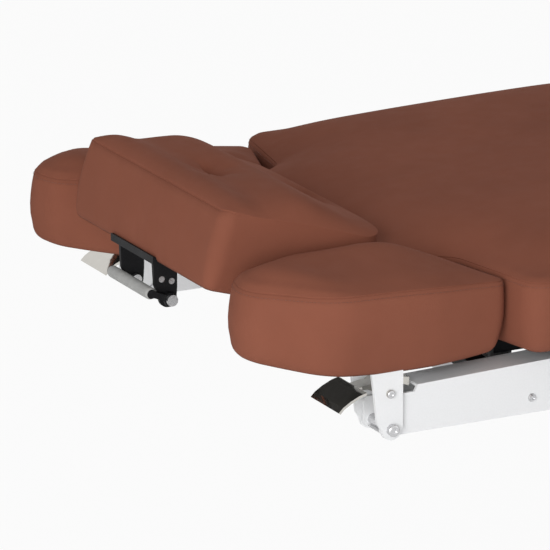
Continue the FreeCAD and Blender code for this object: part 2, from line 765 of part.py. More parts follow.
# Backrest hinge
strap_x0 = HINGE_X - STRAP_HEAD
strap_x1 = HINGE_X - STRAP_FOOT
strap_top = PAD_BASE - STRAP_CLEAR
strap_low = strap_top - STRAP_PLATE
strap = box(strap_x0, strap_x1, sub_out, STRAP_OUT, strap_low, strap_top)
upright = plate(
    [
        (strap_x0, strap_low),
        (strap_x1, strap_low),
        (HINGE_X + STRAP_EYE_R, HINGE_Z),
        (HINGE_X - STRAP_EYE_R, HINGE_Z),
    ],
    STRAP_IN,
    STRAP_OUT,
)
strap = fused(strap, upright, pin(HINGE_X, HINGE_Z, STRAP_EYE_R, STRAP_IN, STRAP_OUT))
strap = strap.cut(pin(HINGE_X, HINGE_Z, HINGE_R + PIN_GAP, STRAP_IN - OVER, STRAP_OUT + OVER))
save("back_hinge_straps", both_sides(strap))
ear = box(HINGE_X - EAR_R, HINGE_X + EAR_R, EAR_IN, EAR_OUT, 0, HINGE_Z)
ear = fused(
    ear,
    pin(HINGE_X, HINGE_Z, EAR_R, EAR_IN, EAR_OUT),
    box(HINGE_X - EAR_R, HINGE_X + EAR_R, RAIL_OUT, EAR_OUT, 0, EAR_FOOT_H),
)
ear = ear.cut(pin(HINGE_X, HINGE_Z, HINGE_R, EAR_IN - OVER, EAR_OUT + OVER))
save("back_hinge_ears", both_sides(ear))
bolt = fused(
    pin(HINGE_X, HINGE_Z, HINGE_R, STRAP_IN, EAR_OUT),
    pin(HINGE_X, HINGE_Z, HINGE_HEAD_R, EAR_OUT, EAR_OUT + HINGE_HEAD_T),
)
save("back_hinge_bolts", both_sides(bolt))
body, rod = actuator(*back_a, *back_b, BACK_ROD_SHOWN, BACK_ROD_START)
save("back_actuator", body)
save("back_actuator_rod", rod)

# Leg rest
leg_plan = box_corners(LEG_START, LEG_END, PAD_HALF, PAD_CORNER_R, LEG_END_R)
leg_board = flat_board(leg_plan, BOARD_INSET, PAD_BASE, PAD_BASE + BOARD_T)
leg_pad = crowned_pad(leg_plan, PAD_BASE, PAD_SEAM, PAD_CROWN, CROWN_REACH, PAD_BULGE)
save("leg_pad", leg_pad.cut(leg_board))
save("leg_board", leg_board)
leg_tube_x1 = LEG_END - LEG_TUBE_SET
leg_tube = fused(
    tube_along(LEG_START, leg_tube_x1, sub_in, sub_out, SUB_LOW, SUB_TOP),
    box(LEG_PIN_X, LEG_START + SUB_TUBE, sub_in, sub_out, LEG_PIN_Z - RAIL_EAR_R, LEG_PIN_Z),
    box(LEG_START, LEG_START + SUB_TUBE, sub_in, sub_out, LEG_PIN_Z - OVER, SUB_TOP),
    pin(LEG_PIN_X, LEG_PIN_Z, RAIL_EAR_R, sub_in, sub_out),
)
leg_bore = pin(LEG_PIN_X, LEG_PIN_Z, LEG_PIN_R + PIN_GAP, sub_in - OVER, sub_out + OVER)
save("leg_side_tubes", both_sides(leg_tube.cut(leg_bore)))
leg_cross = tube_across(
    leg_b[0] - SUB_TUBE / 2, leg_b[0] + SUB_TUBE / 2, -sub_in, sub_in, SUB_LOW, SUB_TOP
)
save("leg_cross_tube_head", fused(leg_cross, *lugs(*leg_b, SUB_LOW)))
leg_cross = tube_across(
    leg_tube_x1 - SUB_TUBE, leg_tube_x1, -sub_in, sub_in, SUB_LOW, SUB_TOP
)
save("leg_cross_tube_foot", leg_cross)
leg_pin = fused(
    pin(LEG_PIN_X, LEG_PIN_Z, LEG_PIN_R, sub_in - PIN_HEAD_T, RAIL_OUT),
    pin(LEG_PIN_X, LEG_PIN_Z, LEG_PIN_R + LEG_PIN_HEAD_OVER, RAIL_OUT, RAIL_OUT + PIN_HEAD_T),
)
save("leg_hinge_pins", both_sides(leg_pin))
body, rod = actuator(*leg_a, *leg_b, LEG_ROD_SHOWN, LEG_ROD_START)
save("leg_actuator", body)
save("leg_actuator_rod", rod)


# Armrests
def arm_tilted(shape):
    """Turns an armrest piece nose up about its pivot."""
    turned = shape.copy()
    turned.rotate(at(0, 0, 0), FreeCAD.Vector(0, 1, 0), ARM_TILT)
    return turned


def arm_seat(x):
    """Corner of the bracket's plates under the tilted board, at station x."""
    tilt = math.radians(ARM_TILT)
    return (x, PAD_BASE / math.cos(tilt) - x * math.tan(tilt))


def arm_bracket():
    """White bracket: two plates astride the rail end, joined by a web that carries the board."""
    profile = [
        arm_seat(-ARM_BRACKET_HEAD),
        *ARM_BRACKET_EDGE,
        (-ARM_BOSS_R, 0.0),
        (ARM_BRACKET_FOOT, 0.0),
        arm_seat(ARM_BRACKET_FOOT),
    ]
    sides = []
    for y0, y1 in ((ARM_OUT_IN, ARM_OUT_OUT), (ARM_IN_IN, ARM_IN_OUT)):
        sides.append(plate(profile, y0, y1))
        sides.append(pin(0, 0, ARM_BOSS_R, y0, y1))
    shift = PAD_BASE * math.sin(math.radians(ARM_TILT))
    web_low = PAD_BASE - ARM_WEB_T
    web_x0 = -ARM_BRACKET_HEAD - shift
    web_x1 = ARM_BRACKET_FOOT - shift
    web = box(web_x0, web_x1, ARM_IN_IN, ARM_OUT_OUT, web_low, PAD_BASE)
    wing_y0 = ARM_IN_IN - ARM_WING_IN
    wing_y1 = ARM_OUT_IN - ARM_WING_OUT
    wing = box(-ARM_WING_HEAD, ARM_WING_FOOT, wing_y0, wing_y1, web_low, PAD_BASE)
    shape = fused(arm_tilted(web), arm_tilted(wing), *sides)
    shape = shape.cut(pin(0, 0, ARM_PIVOT_R + PIN_GAP, ARM_IN_IN - OVER, ARM_OUT_OUT + OVER))
    return shape.cut(pin(KNOB_X, KNOB_Z, KNOB_R + PIN_GAP, ARM_IN_IN - OVER, ARM_OUT_OUT + OVER))


def arm_paddle():
    """Polished paddle with its arm, hub and cross shaft in one piece."""
    knob_end = ARM_OUT_OUT + KNOB_OUT
    return fused(
        plate(PADDLE_SHEET, PADDLE_IN, PADDLE_OUT),
        plate(PADDLE_ARM, RAIL_Y - PADDLE_ARM_HALF, RAIL_Y + PADDLE_ARM_HALF),
        pin(KNOB_X, KNOB_Z, HUB_R, ARM_IN_OUT + OVER, ARM_OUT_IN - OVER),
        pin(KNOB_X, KNOB_Z, KNOB_R, ARM_IN_IN - KNOB_IN, knob_end),
        pin(KNOB_X, KNOB_Z, KNOB_R + KNOB_HEAD_OVER, ARM_OUT_OUT + PIN_GAP, knob_end),
    )


arm_corners = [(x, RAIL_Y + y, r) for x, y, r in ARM_PLAN]
arm_pad = crowned_pad(arm_corners, PAD_BASE, ARM_SEAM, ARM_CROWN, ARM_CROWN_REACH, ARM_BULGE)
arm_pad = arm_tilted(arm_pad)
arm_board = arm_tilted(flat_board(arm_corners, BOARD_INSET, PAD_BASE, PAD_BASE + BOARD_T))
pieces = {
    "armrest_pad": arm_pad.cut(arm_board),
    "armrest_board": arm_board,
    "armrest_bracket": arm_bracket(),
    "release_paddle": arm_paddle(),
}
for name, shape in pieces.items():
    save(name + "_left", shape)
    save(name + "_right", mirrored(shape))
pivot = fused(
    pin(0, 0, ARM_TUBE_R, RAIL_IN + RAIL_WALL, RAIL_OUT - RAIL_WALL),
    pin(0, 0, ARM_PIVOT_R, ARM_IN_IN - ARM_HEAD_T, ARM_OUT_OUT + ARM_HEAD_T),
    pin(0, 0, ARM_HEAD_R, ARM_OUT_OUT + PIN_GAP, ARM_OUT_OUT + ARM_HEAD_T),
    pin(0, 0, ARM_HEAD_R, ARM_IN_IN - ARM_HEAD_T, ARM_IN_IN - PIN_GAP),
)
save("armrest_pivots", both_sides(pivot))

# Headrest, in its own flat frame: s from the back edge to the head, w up from the underside
tilt_cos = math.cos(math.radians(HEADREST_TILT))
tilt_sin = math.sin(math.radians(HEADREST_TILT))


def head_point(s, y, w):
    x = HEADREST_BACK_X - s * tilt_cos + w * tilt_sin
    return at(x, y, HEADREST_BACK_Z + s * tilt_sin + w * tilt_cos)


def head_section(y, draw, swell):
    """Closed side profile at y, drawn in at the ends and swelling along the top."""
    top = HEADREST_SIDE
    long = HEADREST_LENGTH
    pinch = draw * HEADREST_DRAW_SHARE

    def height(rise, share):
        """Ends are pinched at the underside and at the top, not half way up."""
        level = rise + share * top
        if share == 0:
            return level + pinch
        return level - pinch if share == 1 else level

    first_past, first_rise, first_share = HEADREST_HEAD_END[0]
    points = [
        (draw - first_past, height(first_rise, first_share)),
        *[(long + past - draw, height(rise, share)) for past, rise, share in HEADREST_HEAD_END],
        *[(share * long, top + part * swell - pinch) for share, part in HEADREST_TOP],
        *[(draw - past, height(rise, share)) for past, rise, share in HEADREST_BACK_END],
    ]
    corners = [head_point(s, y, w) for s, w in points]
    return Part.makePolygon(corners + corners[:1])


sections = [(-y * HEADREST_HALF, draw, part * HEADREST_SWELL) for y, draw, part in HEADREST_ACROSS]
sections += [(-y, draw, swell) for y, draw, swell in reversed(sections)]
head_pad = Part.makeLoft([head_section(*section) for section in sections], True, True)


def tuft(s):
    """Sewn pinch across the top: a groove that is deepest in the middle and runs out at its ends."""
    rim = TUFT_RIM - TUFT_FLOOR
    rings = []
    spread = rim / TUFT_DEPTH
    levels = [(0.0, TUFT_FLOOR_WIDE, TUFT_FLOOR_HALF), (rim, TUFT_WIDE * spread, TUFT_HALF * spread)]
    for lift, wide, half in levels:
        corners = [
            head_point(s - wide, 0, TUFT_FLOOR + lift),
            head_point(s, -half, TUFT_FLOOR + lift),
            head_point(s + wide, 0, TUFT_FLOOR + lift),
            head_point(s, half, TUFT_FLOOR + lift),
        ]
        rings.append(Part.makePolygon(corners + corners[:1]))
    return Part.makeLoft(rings, True, True)


for s in TUFT_FROM_BACK:
    head_pad = head_pad.cut(tuft(s))


def head_board_outline(w):
    inset = HEADREST_BOARD_INSET
    y = HEADREST_HALF - BOARD_INSET
    s0 = inset + HEADREST_BOARD_BACK
    s1 = HEADREST_LENGTH - inset
    corners = [head_point(s0, -y, w), head_point(s1, -y, w)]
    corners += [head_point(s1, y, w), head_point(s0, y, w)]
    return Part.Face(Part.makePolygon(corners + corners[:1]))


rise = head_point(0, 0, BOARD_T) - head_point(0, 0, 0)
head_board = head_board_outline(0.0).extrude(rise)
save("headrest_pad", head_pad.cut(head_board))
save("headrest_board", head_board)


def under_board(x):
    """Height of the headrest's underside at station x."""
    start = head_point(0, 0, 0)
    return start.z - PIVOT_Z + (start.x - PIVOT_X - x) * tilt_sin / tilt_cos


leaf_in = HEAD_HINGE_Y - HEAD_LEAF_T / 2
leaf_out = HEAD_HINGE_Y + HEAD_LEAF_T / 2
leaf = plate(
    [
        (LEAF_HEAD_X, under_board(LEAF_HEAD_X)),
        (LEAF_HEAD_X, under_board(LEAF_HEAD_X) - LEAF_EDGE),
        (HEAD_HINGE_X - LEAF_TURN, HEAD_HINGE_Z - HEAD_EYE_R + LEAF_EASE),
        (HEAD_HINGE_X + LEAF_TURN, HEAD_HINGE_Z + HEAD_EYE_R - LEAF_EASE),
        (LEAF_BACK_X, under_board(LEAF_BACK_X)),
    ],
    leaf_in,
    leaf_out,
)
leaf = fused(leaf, pin(HEAD_HINGE_X, HEAD_HINGE_Z, HEAD_EYE_R, leaf_in, leaf_out))
leaf_bore = pin(HEAD_HINGE_X, HEAD_HINGE_Z, HEAD_HINGE_R + PIN_GAP, leaf_in - OVER, leaf_out + OVER)
leaf = leaf.cut(leaf_bore)
save("headrest_hinge_leaves", both_sides(leaf))
tube_front = back_tube_x0 + MITRE
forks = []
for y0 in (leaf_in - SLIDE_GAP - HEAD_LEAF_T, leaf_out + SLIDE_GAP):
    y1 = y0 + HEAD_LEAF_T
    arm = plate(
        [
            (tube_front, SUB_LOW + FORK_LOW),
            (tube_front, SUB_TOP - FORK_TOP),
            (HEAD_HINGE_X, HEAD_HINGE_Z + HEAD_EYE_R),
            (HEAD_HINGE_X, HEAD_HINGE_Z - HEAD_EYE_R),
        ],
        y0,
        y1,
    )
    forks += [arm, pin(HEAD_HINGE_X, HEAD_HINGE_Z, HEAD_EYE_R, y0, y1)]
fork_in = leaf_in - SLIDE_GAP - HEAD_LEAF_T
fork_out = leaf_out + SLIDE_GAP + HEAD_LEAF_T
bridge_x0 = tube_front - BRIDGE_LENGTH
bridge = box(bridge_x0, tube_front, fork_in, fork_out, SUB_LOW + FORK_LOW, SUB_TOP - BRIDGE_TOP)
fork = fused(bridge, *forks)
fork = fork.cut(pin(HEAD_HINGE_X, HEAD_HINGE_Z, HEAD_HINGE_R, fork_in - OVER, fork_out + OVER))
save("headrest_hinge_forks", both_sides(fork))
pin_head_r = HEAD_HINGE_R + HEAD_PIN_HEAD_OVER
pivot = fused(
    pin(HEAD_HINGE_X, HEAD_HINGE_Z, HEAD_HINGE_R, fork_in, fork_out),
    pin(HEAD_HINGE_X, HEAD_HINGE_Z, pin_head_r, fork_out, fork_out + PIN_HEAD_T),
    pin(HEAD_HINGE_X, HEAD_HINGE_Z, pin_head_r, fork_in - PIN_HEAD_T, fork_in),
)
save("headrest_hinge_pins", both_sides(pivot))

# Headrest release bracket, lever and grip
latch_out = LATCH_Y + LATCH_T
latch_profile = [
    (LATCH_HEAD_X, under_board(LATCH_HEAD_X)),
    (LATCH_HEAD_X + LATCH_LEAN, LATCH_PIVOT_Z + LATCH_HEAD_RISE),
    (LATCH_PIVOT_X - LATCH_R, LATCH_PIVOT_Z),
    (LATCH_PIVOT_X + LATCH_R, LATCH_PIVOT_Z),
    (LATCH_BACK_X, LATCH_PIVOT_Z + LATCH_BACK_RISE),
    (LATCH_BACK_X, under_board(LATCH_BACK_X)),
]
latch_parts = []
for y0, y1 in ((LATCH_Y, latch_out), (-latch_out, -LATCH_Y)):
    latch_parts.append(plate(latch_profile, y0, y1))
    latch_parts.append(pin(LATCH_PIVOT_X, LATCH_PIVOT_Z, LATCH_R, y0, y1))
top_block = plate(
    [
        (LATCH_HEAD_X, under_board(LATCH_HEAD_X)),
        (LATCH_HEAD_X, under_board(LATCH_HEAD_X) - BLOCK_T),
        (BLOCK_BACK_X, under_board(BLOCK_BACK_X) - BLOCK_T),
        (BLOCK_BACK_X, under_board(BLOCK_BACK_X)),
    ],
    -latch_out,
    BLOCK_REACH,
)
latch = fused(top_block, *latch_parts)
latch_hole = pin(LATCH_PIVOT_X, LATCH_PIVOT_Z, LATCH_BOLT_R, -latch_out - OVER, latch_out + OVER)
save("latch_bracket", latch.cut(latch_hole))
bolts = []
leg_in = latch_out + SLIDE_GAP
leg_out = leg_in + 2 * LEVER_R
bolt_in = LATCH_Y - LATCH_BOLT_IN
bolt_head_r = LATCH_BOLT_R + LATCH_HEAD_OVER
pivot = fused(
    pin(LATCH_PIVOT_X, LATCH_PIVOT_Z, LATCH_BOLT_R, bolt_in, leg_out + LATCH_BOLT_TIP),
    pin(LATCH_PIVOT_X, LATCH_PIVOT_Z, bolt_head_r, leg_out + PIN_GAP, leg_out + LATCH_BOLT_END),
    pin(LATCH_PIVOT_X, LATCH_PIVOT_Z, LATCH_BOLT_R + LATCH_NUT_OVER, bolt_in, LATCH_Y),
)
bolts += [pivot, mirrored(pivot)]
for x, z in LATCH_RIVETS:
    rivet_end = latch_out + LATCH_RIVET_T
    head = pin(LATCH_PIVOT_X + x, LATCH_PIVOT_Z + z, LATCH_BOLT_R, latch_out, rivet_end)
    bolts += [head, mirrored(head)]
save("latch_bolts", Part.makeCompound(bolts))
lever_parts = [pin(GRIP_X, GRIP_Z, LEVER_R, -leg_in, leg_in)]
span = math.hypot(GRIP_X - LATCH_PIVOT_X, GRIP_Z - LATCH_PIVOT_Z)
across_x = LEVER_R * (LATCH_PIVOT_Z - GRIP_Z) / span
across_z = LEVER_R * (GRIP_X - LATCH_PIVOT_X) / span
bar = [
    (GRIP_X + across_x, GRIP_Z + across_z),
    (LATCH_PIVOT_X + across_x, LATCH_PIVOT_Z + across_z),
    (LATCH_PIVOT_X - across_x, LATCH_PIVOT_Z - across_z),
    (GRIP_X - across_x, GRIP_Z - across_z),
]
for y0, y1 in ((leg_in, leg_out), (-leg_out, -leg_in)):
    lever_parts.append(plate(bar, y0, y1))
    lever_parts.append(pin(GRIP_X, GRIP_Z, LEVER_CORNER_R, y0, y1))
    lever_parts.append(pin(LATCH_PIVOT_X, LATCH_PIVOT_Z, LEVER_EYE_R, y0, y1))
lever = fused(*lever_parts)
reach = leg_out + OVER
lever_hole = pin(LATCH_PIVOT_X, LATCH_PIVOT_Z, LATCH_BOLT_R + PIN_GAP, -reach, reach)
save("latch_lever", lever.cut(lever_hole))
grip = pin(GRIP_X, GRIP_Z, GRIP_R, -GRIP_HALF, GRIP_HALF)
save("latch_grip", grip.cut(pin(GRIP_X, GRIP_Z, LEVER_R, -GRIP_HALF - OVER, GRIP_HALF + OVER)))
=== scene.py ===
import json
import math

import bmesh
import bpy
import numpy as np
from mathutils import Matrix, Vector, noise
from mathutils.geometry import delaunay_2d_cdt


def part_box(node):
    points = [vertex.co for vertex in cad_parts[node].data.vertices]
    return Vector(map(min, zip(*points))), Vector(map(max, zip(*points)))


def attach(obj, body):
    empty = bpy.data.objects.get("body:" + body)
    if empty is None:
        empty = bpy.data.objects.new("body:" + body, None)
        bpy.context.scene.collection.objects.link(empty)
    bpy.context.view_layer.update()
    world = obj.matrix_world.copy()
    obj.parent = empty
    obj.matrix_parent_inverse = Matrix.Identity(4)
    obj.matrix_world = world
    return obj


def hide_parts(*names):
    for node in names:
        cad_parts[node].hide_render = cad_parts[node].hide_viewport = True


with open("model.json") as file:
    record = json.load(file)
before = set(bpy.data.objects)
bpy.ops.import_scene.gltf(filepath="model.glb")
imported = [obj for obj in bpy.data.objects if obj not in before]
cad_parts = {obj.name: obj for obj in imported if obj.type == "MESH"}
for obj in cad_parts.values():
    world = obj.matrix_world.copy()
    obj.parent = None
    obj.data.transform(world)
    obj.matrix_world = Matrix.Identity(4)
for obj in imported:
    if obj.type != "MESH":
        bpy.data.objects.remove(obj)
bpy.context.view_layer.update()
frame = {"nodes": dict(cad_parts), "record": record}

NODES = frame["nodes"]
SIDES = ((1, "left"), (-1, "right"))

# Shapes are written in mm from the armrest pivots; the frame is in metres
MM = 0.001
pivot_low, pivot_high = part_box("armrest_pivots")
PIVOT = Vector(((pivot_low.x + pivot_high.x) / 2, 0, (pivot_low.z + pivot_high.z) / 2))


def at(x, y, z):
    """A point in mm from the armrest pivots, in the frame."""
    return PIVOT + Vector((x, y, z)) * MM


def from_pivot(point):
    """A point of the frame, in mm from the armrest pivots."""
    return (Vector(point) - PIVOT) / MM


def link(obj):
    bpy.context.scene.collection.objects.link(obj)
    return obj


# Shader nodes: the middle range of a texture's values is spread over the whole effect
TEXTURE_LOW = 0.3
TEXTURE_HIGH = 0.7


def new_material(name):
    material = bpy.data.materials.new(name)
    material.use_nodes = True
    tree = material.node_tree
    return material, tree, tree.nodes["Principled BSDF"]


def position(tree):
    return tree.nodes.new("ShaderNodeTexCoord").outputs["Object"]


def stretched(tree, scale):
    """Position scaled by axis, for a texture that runs along one of them."""
    node = tree.nodes.new("ShaderNodeMapping")
    node.inputs["Scale"].default_value = scale
    tree.links.new(position(tree), node.inputs["Vector"])
    return node.outputs["Vector"]


def noise_texture(tree, where, scale, detail, rough=0.55):
    node = tree.nodes.new("ShaderNodeTexNoise")
    node.inputs["Scale"].default_value = scale
    node.inputs["Detail"].default_value = detail
    node.inputs["Roughness"].default_value = rough
    tree.links.new(where, node.inputs["Vector"])
    return node.outputs["Fac"]


def cell_texture(tree, where, scale, feature="F1"):
    node = tree.nodes.new("ShaderNodeTexVoronoi")
    node.feature = feature
    node.inputs["Scale"].default_value = scale
    tree.links.new(where, node.inputs["Vector"])
    return node.outputs["Distance"]


def spread(tree, value, low, high):
    """Maps a texture's middle range to low and high."""
    node = tree.nodes.new("ShaderNodeMapRange")
    node.inputs["From Min"].default_value = TEXTURE_LOW
    node.inputs["From Max"].default_value = TEXTURE_HIGH
    node.inputs["To Min"].default_value = low
    node.inputs["To Max"].default_value = high
    tree.links.new(value, node.inputs["Value"])
    return node.outputs["Result"]


def two_tones(tree, value, dark, light):
    """Maps a texture's middle range to two colours."""
    node = tree.nodes.new("ShaderNodeValToRGB")
    first, second = node.color_ramp.elements
    first.position = TEXTURE_LOW
    second.position = TEXTURE_HIGH
    first.color = (*dark, 1)
    second.color = (*light, 1)
    tree.links.new(value, node.inputs["Fac"])
    return node.outputs["Color"]


def bump(tree, height, strength, distance, under=None):
    """Normal from a texture whose relief is distance mm deep, over another normal if one is given."""
    node = tree.nodes.new("ShaderNodeBump")
    node.inputs["Strength"].default_value = strength
    node.inputs["Distance"].default_value = distance * MM
    tree.links.new(height, node.inputs["Height"])
    if under is not None:
        tree.links.new(under, node.inputs["Normal"])
    return node.outputs["Normal"]


def connect(tree, shader, colour, rough, normal):
    for value, socket in ((colour, "Base Color"), (rough, "Roughness"), (normal, "Normal")):
        tree.links.new(value, shader.inputs[socket])


def shaded(colour, share):
    return tuple(c * share for c in colour)


# Materials: texture scales are per metre
LEATHER = (0.232, 0.080, 0.049)
LEATHER_GLEAM = 0.12
PAINT_UNEVEN = 0.06
MOULD_UNEVEN = 0.08


def leather_material():
    """Smooth coated leather: pebbled grain, faint creases and slow changes of tone and gloss."""
    material, tree, shader = new_material("brown_leather")
    where = position(tree)
    tone = noise_texture(tree, where, scale=6.0, detail=4.0)
    tint = two_tones(tree, tone, dark=shaded(LEATHER, 0.93), light=shaded(LEATHER, 1.06))
    gloss = noise_texture(tree, where, scale=38.0, detail=4.0)
    uneven = spread(tree, gloss, low=0.82, high=0.94)
    pebbles = cell_texture(tree, where, scale=720.0, feature="SMOOTH_F1")
    grain = bump(tree, pebbles, strength=0.16, distance=0.6)
    creases = noise_texture(tree, where, scale=150.0, detail=5.0, rough=0.65)
    connect(tree, shader, tint, uneven, bump(tree, creases, strength=0.10, distance=1.0, under=grain))
    shader.inputs["Specular IOR Level"].default_value = LEATHER_GLEAM
    return material


def paint_material(name, colour, rough, peel, fleck, gleam):
    """Powder coat: orange peel, a fine fleck and uneven gloss."""
    material, tree, shader = new_material(name)
    where = position(tree)
    flecks = noise_texture(tree, where, scale=420.0, detail=2.0)
    tint = two_tones(tree, flecks, dark=shaded(colour, 1 - fleck), light=shaded(colour, 1 + fleck))
    gloss = noise_texture(tree, where, scale=26.0, detail=4.0)
    uneven = spread(tree, gloss, low=rough - PAINT_UNEVEN, high=rough + PAINT_UNEVEN)
    orange = noise_texture(tree, where, scale=650.0, detail=2.0)
    connect(tree, shader, tint, uneven, bump(tree, orange, strength=peel, distance=0.5))
    shader.inputs["Specular IOR Level"].default_value = gleam
    return material


def metal_material(name, colour, rough, stretch, streak):
    """Bare metal with fine streaks along one direction."""
    material, tree, shader = new_material(name)
    lines = noise_texture(tree, stretched(tree, stretch), scale=1.0, detail=4.0, rough=0.7)
    tint = two_tones(tree, lines, dark=shaded(colour, 0.9), light=colour)
    uneven = spread(tree, lines, low=0.8 * rough, high=1.3 * rough)
    connect(tree, shader, tint, uneven, bump(tree, lines, strength=streak, distance=0.3))
    shader.inputs["Metallic"].default_value = 1.0
    return material


def moulded_material(name, colour, rough, cells, grain):
    """Rubber, foam or moulded plastic with a fine spark texture."""
    material, tree, shader = new_material(name)
    where = position(tree)
    sparks = cell_texture(tree, where, scale=cells)
    tone = noise_texture(tree, where, scale=60.0, detail=4.0)
    tint = two_tones(tree, tone, dark=shaded(colour, 0.88), light=shaded(colour, 1.1))
    uneven = spread(tree, tone, low=rough - MOULD_UNEVEN, high=rough + MOULD_UNEVEN)
    connect(tree, shader, tint, uneven, bump(tree, sparks, strength=grain, distance=0.6))
    return material


def board_material():
    """Black stained plywood with its grain along the lounger."""
    material, tree, shader = new_material("black_board")
    where = stretched(tree, (5.0, 120.0, 120.0))
    grain = noise_texture(tree, where, scale=1.0, detail=6.0, rough=0.65)
    tint = two_tones(tree, grain, dark=(0.008, 0.007, 0.007), light=(0.022, 0.020, 0.018))
    uneven = spread(tree, grain, low=0.55, high=0.75)
    connect(tree, shader, tint, uneven, bump(tree, grain, strength=0.3, distance=0.6))
    return material


def thread_material():
    """Twisted sewing thread, a shade darker than the leather."""
    material, tree, shader = new_material("brown_thread")
    twist = noise_texture(tree, position(tree), scale=900.0, detail=2.0)
    tint = two_tones(tree, twist, dark=shaded(LEATHER, 0.6), light=shaded(LEATHER, 0.95))
    uneven = spread(tree, twist, low=0.55, high=0.8)
    connect(tree, shader, tint, uneven, bump(tree, twist, strength=0.4, distance=0.3))
    return material


MATERIALS = {
    "upholstery": leather_material(),
    "white_frame": paint_material(
        "white_powder_coat", (0.80, 0.805, 0.815), rough=0.38, peel=0.10, fleck=0.015, gleam=0.5
    ),
    "black_frame": paint_material(
        "black_powder_coat", (0.009, 0.009, 0.010), rough=0.5, peel=0.16, fleck=0.25, gleam=0.12
    ),
    "column_paint": paint_material(
        "pale_column_paint", (0.70, 0.71, 0.72), rough=0.34, peel=0.08, fleck=0.015, gleam=0.5
    ),
    "black_board": board_material(),
    "bright_steel": metal_material(
        "bright_steel", (0.62, 0.62, 0.63), rough=0.28, stretch=(300.0, 40.0, 300.0), streak=0.08
    ),
    "polished_chrome": metal_material(
        "polished_steel", (0.60, 0.58, 0.54), rough=0.07, stretch=(60.0, 500.0, 60.0), streak=0.03
    ),
    "actuator_tube": metal_material(
        "brushed_aluminium", (0.58, 0.58, 0.59), rough=0.36, stretch=(30.0, 400.0, 400.0), streak=0.1
    ),
    "grey_foam": moulded_material(
        "grey_foam", (0.38, 0.38, 0.37), rough=0.72, cells=1500.0, grain=0.5
    ),
    "black_rubber": moulded_material(
        "black_rubber", (0.018, 0.018, 0.018), rough=0.7, cells=900.0, grain=0.3
    ),
    "grey_plastic": moulded_material(
        "grey_plastic", (0.22, 0.22, 0.23), rough=0.55, cells=1200.0, grain=0.25
    ),
    "black_plastic": moulded_material(
        "black_plastic", (0.016, 0.016, 0.017), rough=0.5, cells=1200.0, grain=0.25
    ),
}
THREAD = thread_material()
LINING = moulded_material("black_lining", (0.012, 0.012, 0.012), rough=0.85, cells=1600.0, grain=0.4)

for subpart in frame["record"]["subparts"]:
    node = NODES[subpart["node"]]
    node.data.materials.clear()
    node.data.materials.append(MATERIALS[subpart["material_slot"]])

# Edges of bent and painted steel
EDGE_SEGMENTS = 3
EDGE_ANGLE = math.radians(50)


def soften_edges(names, width):
    """Rounds the outer edges of rigid pieces a little."""
    for name in names:
        bevel = NODES[name].modifiers.new("edges", "BEVEL")
        bevel.width = width * MM
        bevel.segments = EDGE_SEGMENTS
        bevel.limit_method = "ANGLE"
        bevel.angle_limit = EDGE_ANGLE
        bevel.harden_normals = False


soften_edges(["side_rail_left", "side_rail_right"], width=3.5)
soften_edges(["armrest_bracket_left", "armrest_bracket_right", "latch_bracket"], width=1.0)
soften_edges(["release_paddle_left", "release_paddle_right"], width=0.8)


# Meshes
def bands(first, rings, count):
    """Quads between closed rings of count points each, whose points start at first."""
    faces = []
    for ring in range(rings - 1):
        start = first + ring * count
        for k in range(count):
            a = start + k
            b = start + (k + 1) % count
            faces.append([a, b, b + count, a + count])
    return faces


def capped_bands(first, rings, count):
    """The same, with a face over each end."""
    last = first + (rings - 1) * count
    caps = [[first + k for k in reversed(range(count))], [last + k for k in range(count)]]
    return bands(first, rings, count) + caps


def new_piece(name, body, points, faces, materials):
    """Smooth piece that rides on a body, with the materials it is given."""
    mesh = bpy.data.meshes.new(name)
    mesh.from_pydata(points, [], faces)
    for material in materials:
        mesh.materials.append(material)
    for polygon in mesh.polygons:
        polygon.use_smooth = True
    piece = link(bpy.data.objects.new(name, mesh))
    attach(piece, body)
    return piece


def face_outward(mesh):
    shell = bmesh.new()
    shell.from_mesh(mesh)
    bmesh.ops.recalc_face_normals(shell, faces=shell.faces)
    shell.to_mesh(mesh)
    shell.free()


# Outlines
def rounded_outline(corners, step):
    """Points along a closed outline whose corners are arcs, about step apart, anticlockwise."""
    count = len(corners)
    points = []
    arcs = []
    for i in range(count):
        before = Vector(corners[i - 1][:2])
        here = Vector(corners[i][:2])
        after = Vector(corners[(i + 1) % count][:2])
        into = (here - before).normalized()
        out = (after - here).normalized()
        turn = math.atan2(into.x * out.y - into.y * out.x, into.dot(out))
        radius = corners[i][2]
        reach = radius * math.tan(abs(turn) / 2)
        side = Vector((-into.y, into.x)) * math.copysign(1, turn)
        arcs.append((here - into * reach, here + out * reach, side * radius, turn))
    for i in range(count):
        start, end, to_centre, turn = arcs[i]
        centre = start + to_centre
        pieces = max(2, math.ceil(to_centre.length * abs(turn) / step))
        for k in range(pieces):
            swing = Matrix.Rotation(turn * k / pieces, 2)
            points.append(centre + swing @ (-to_centre))
        run = arcs[(i + 1) % count][0] - end
        pieces = max(1, math.ceil(run.length / step))
        points.extend(end + run * (k / pieces) for k in range(pieces))
    return np.array([(p.x, p.y) for p in points])


def box_corners(x0, x1, half, first_r, second_r):
    return [(x0, -half, first_r), (x1, -half, second_r), (x1, half, second_r), (x0, half, first_r)]


def outward(outline):
    """Unit normals that point out of an anticlockwise outline."""
    along = np.roll(outline, -1, axis=0) - np.roll(outline, 1, axis=0)
    normals = np.stack([along[:, 1], -along[:, 0]], axis=1)
    return normals / np.linalg.norm(normals, axis=1, keepdims=True)


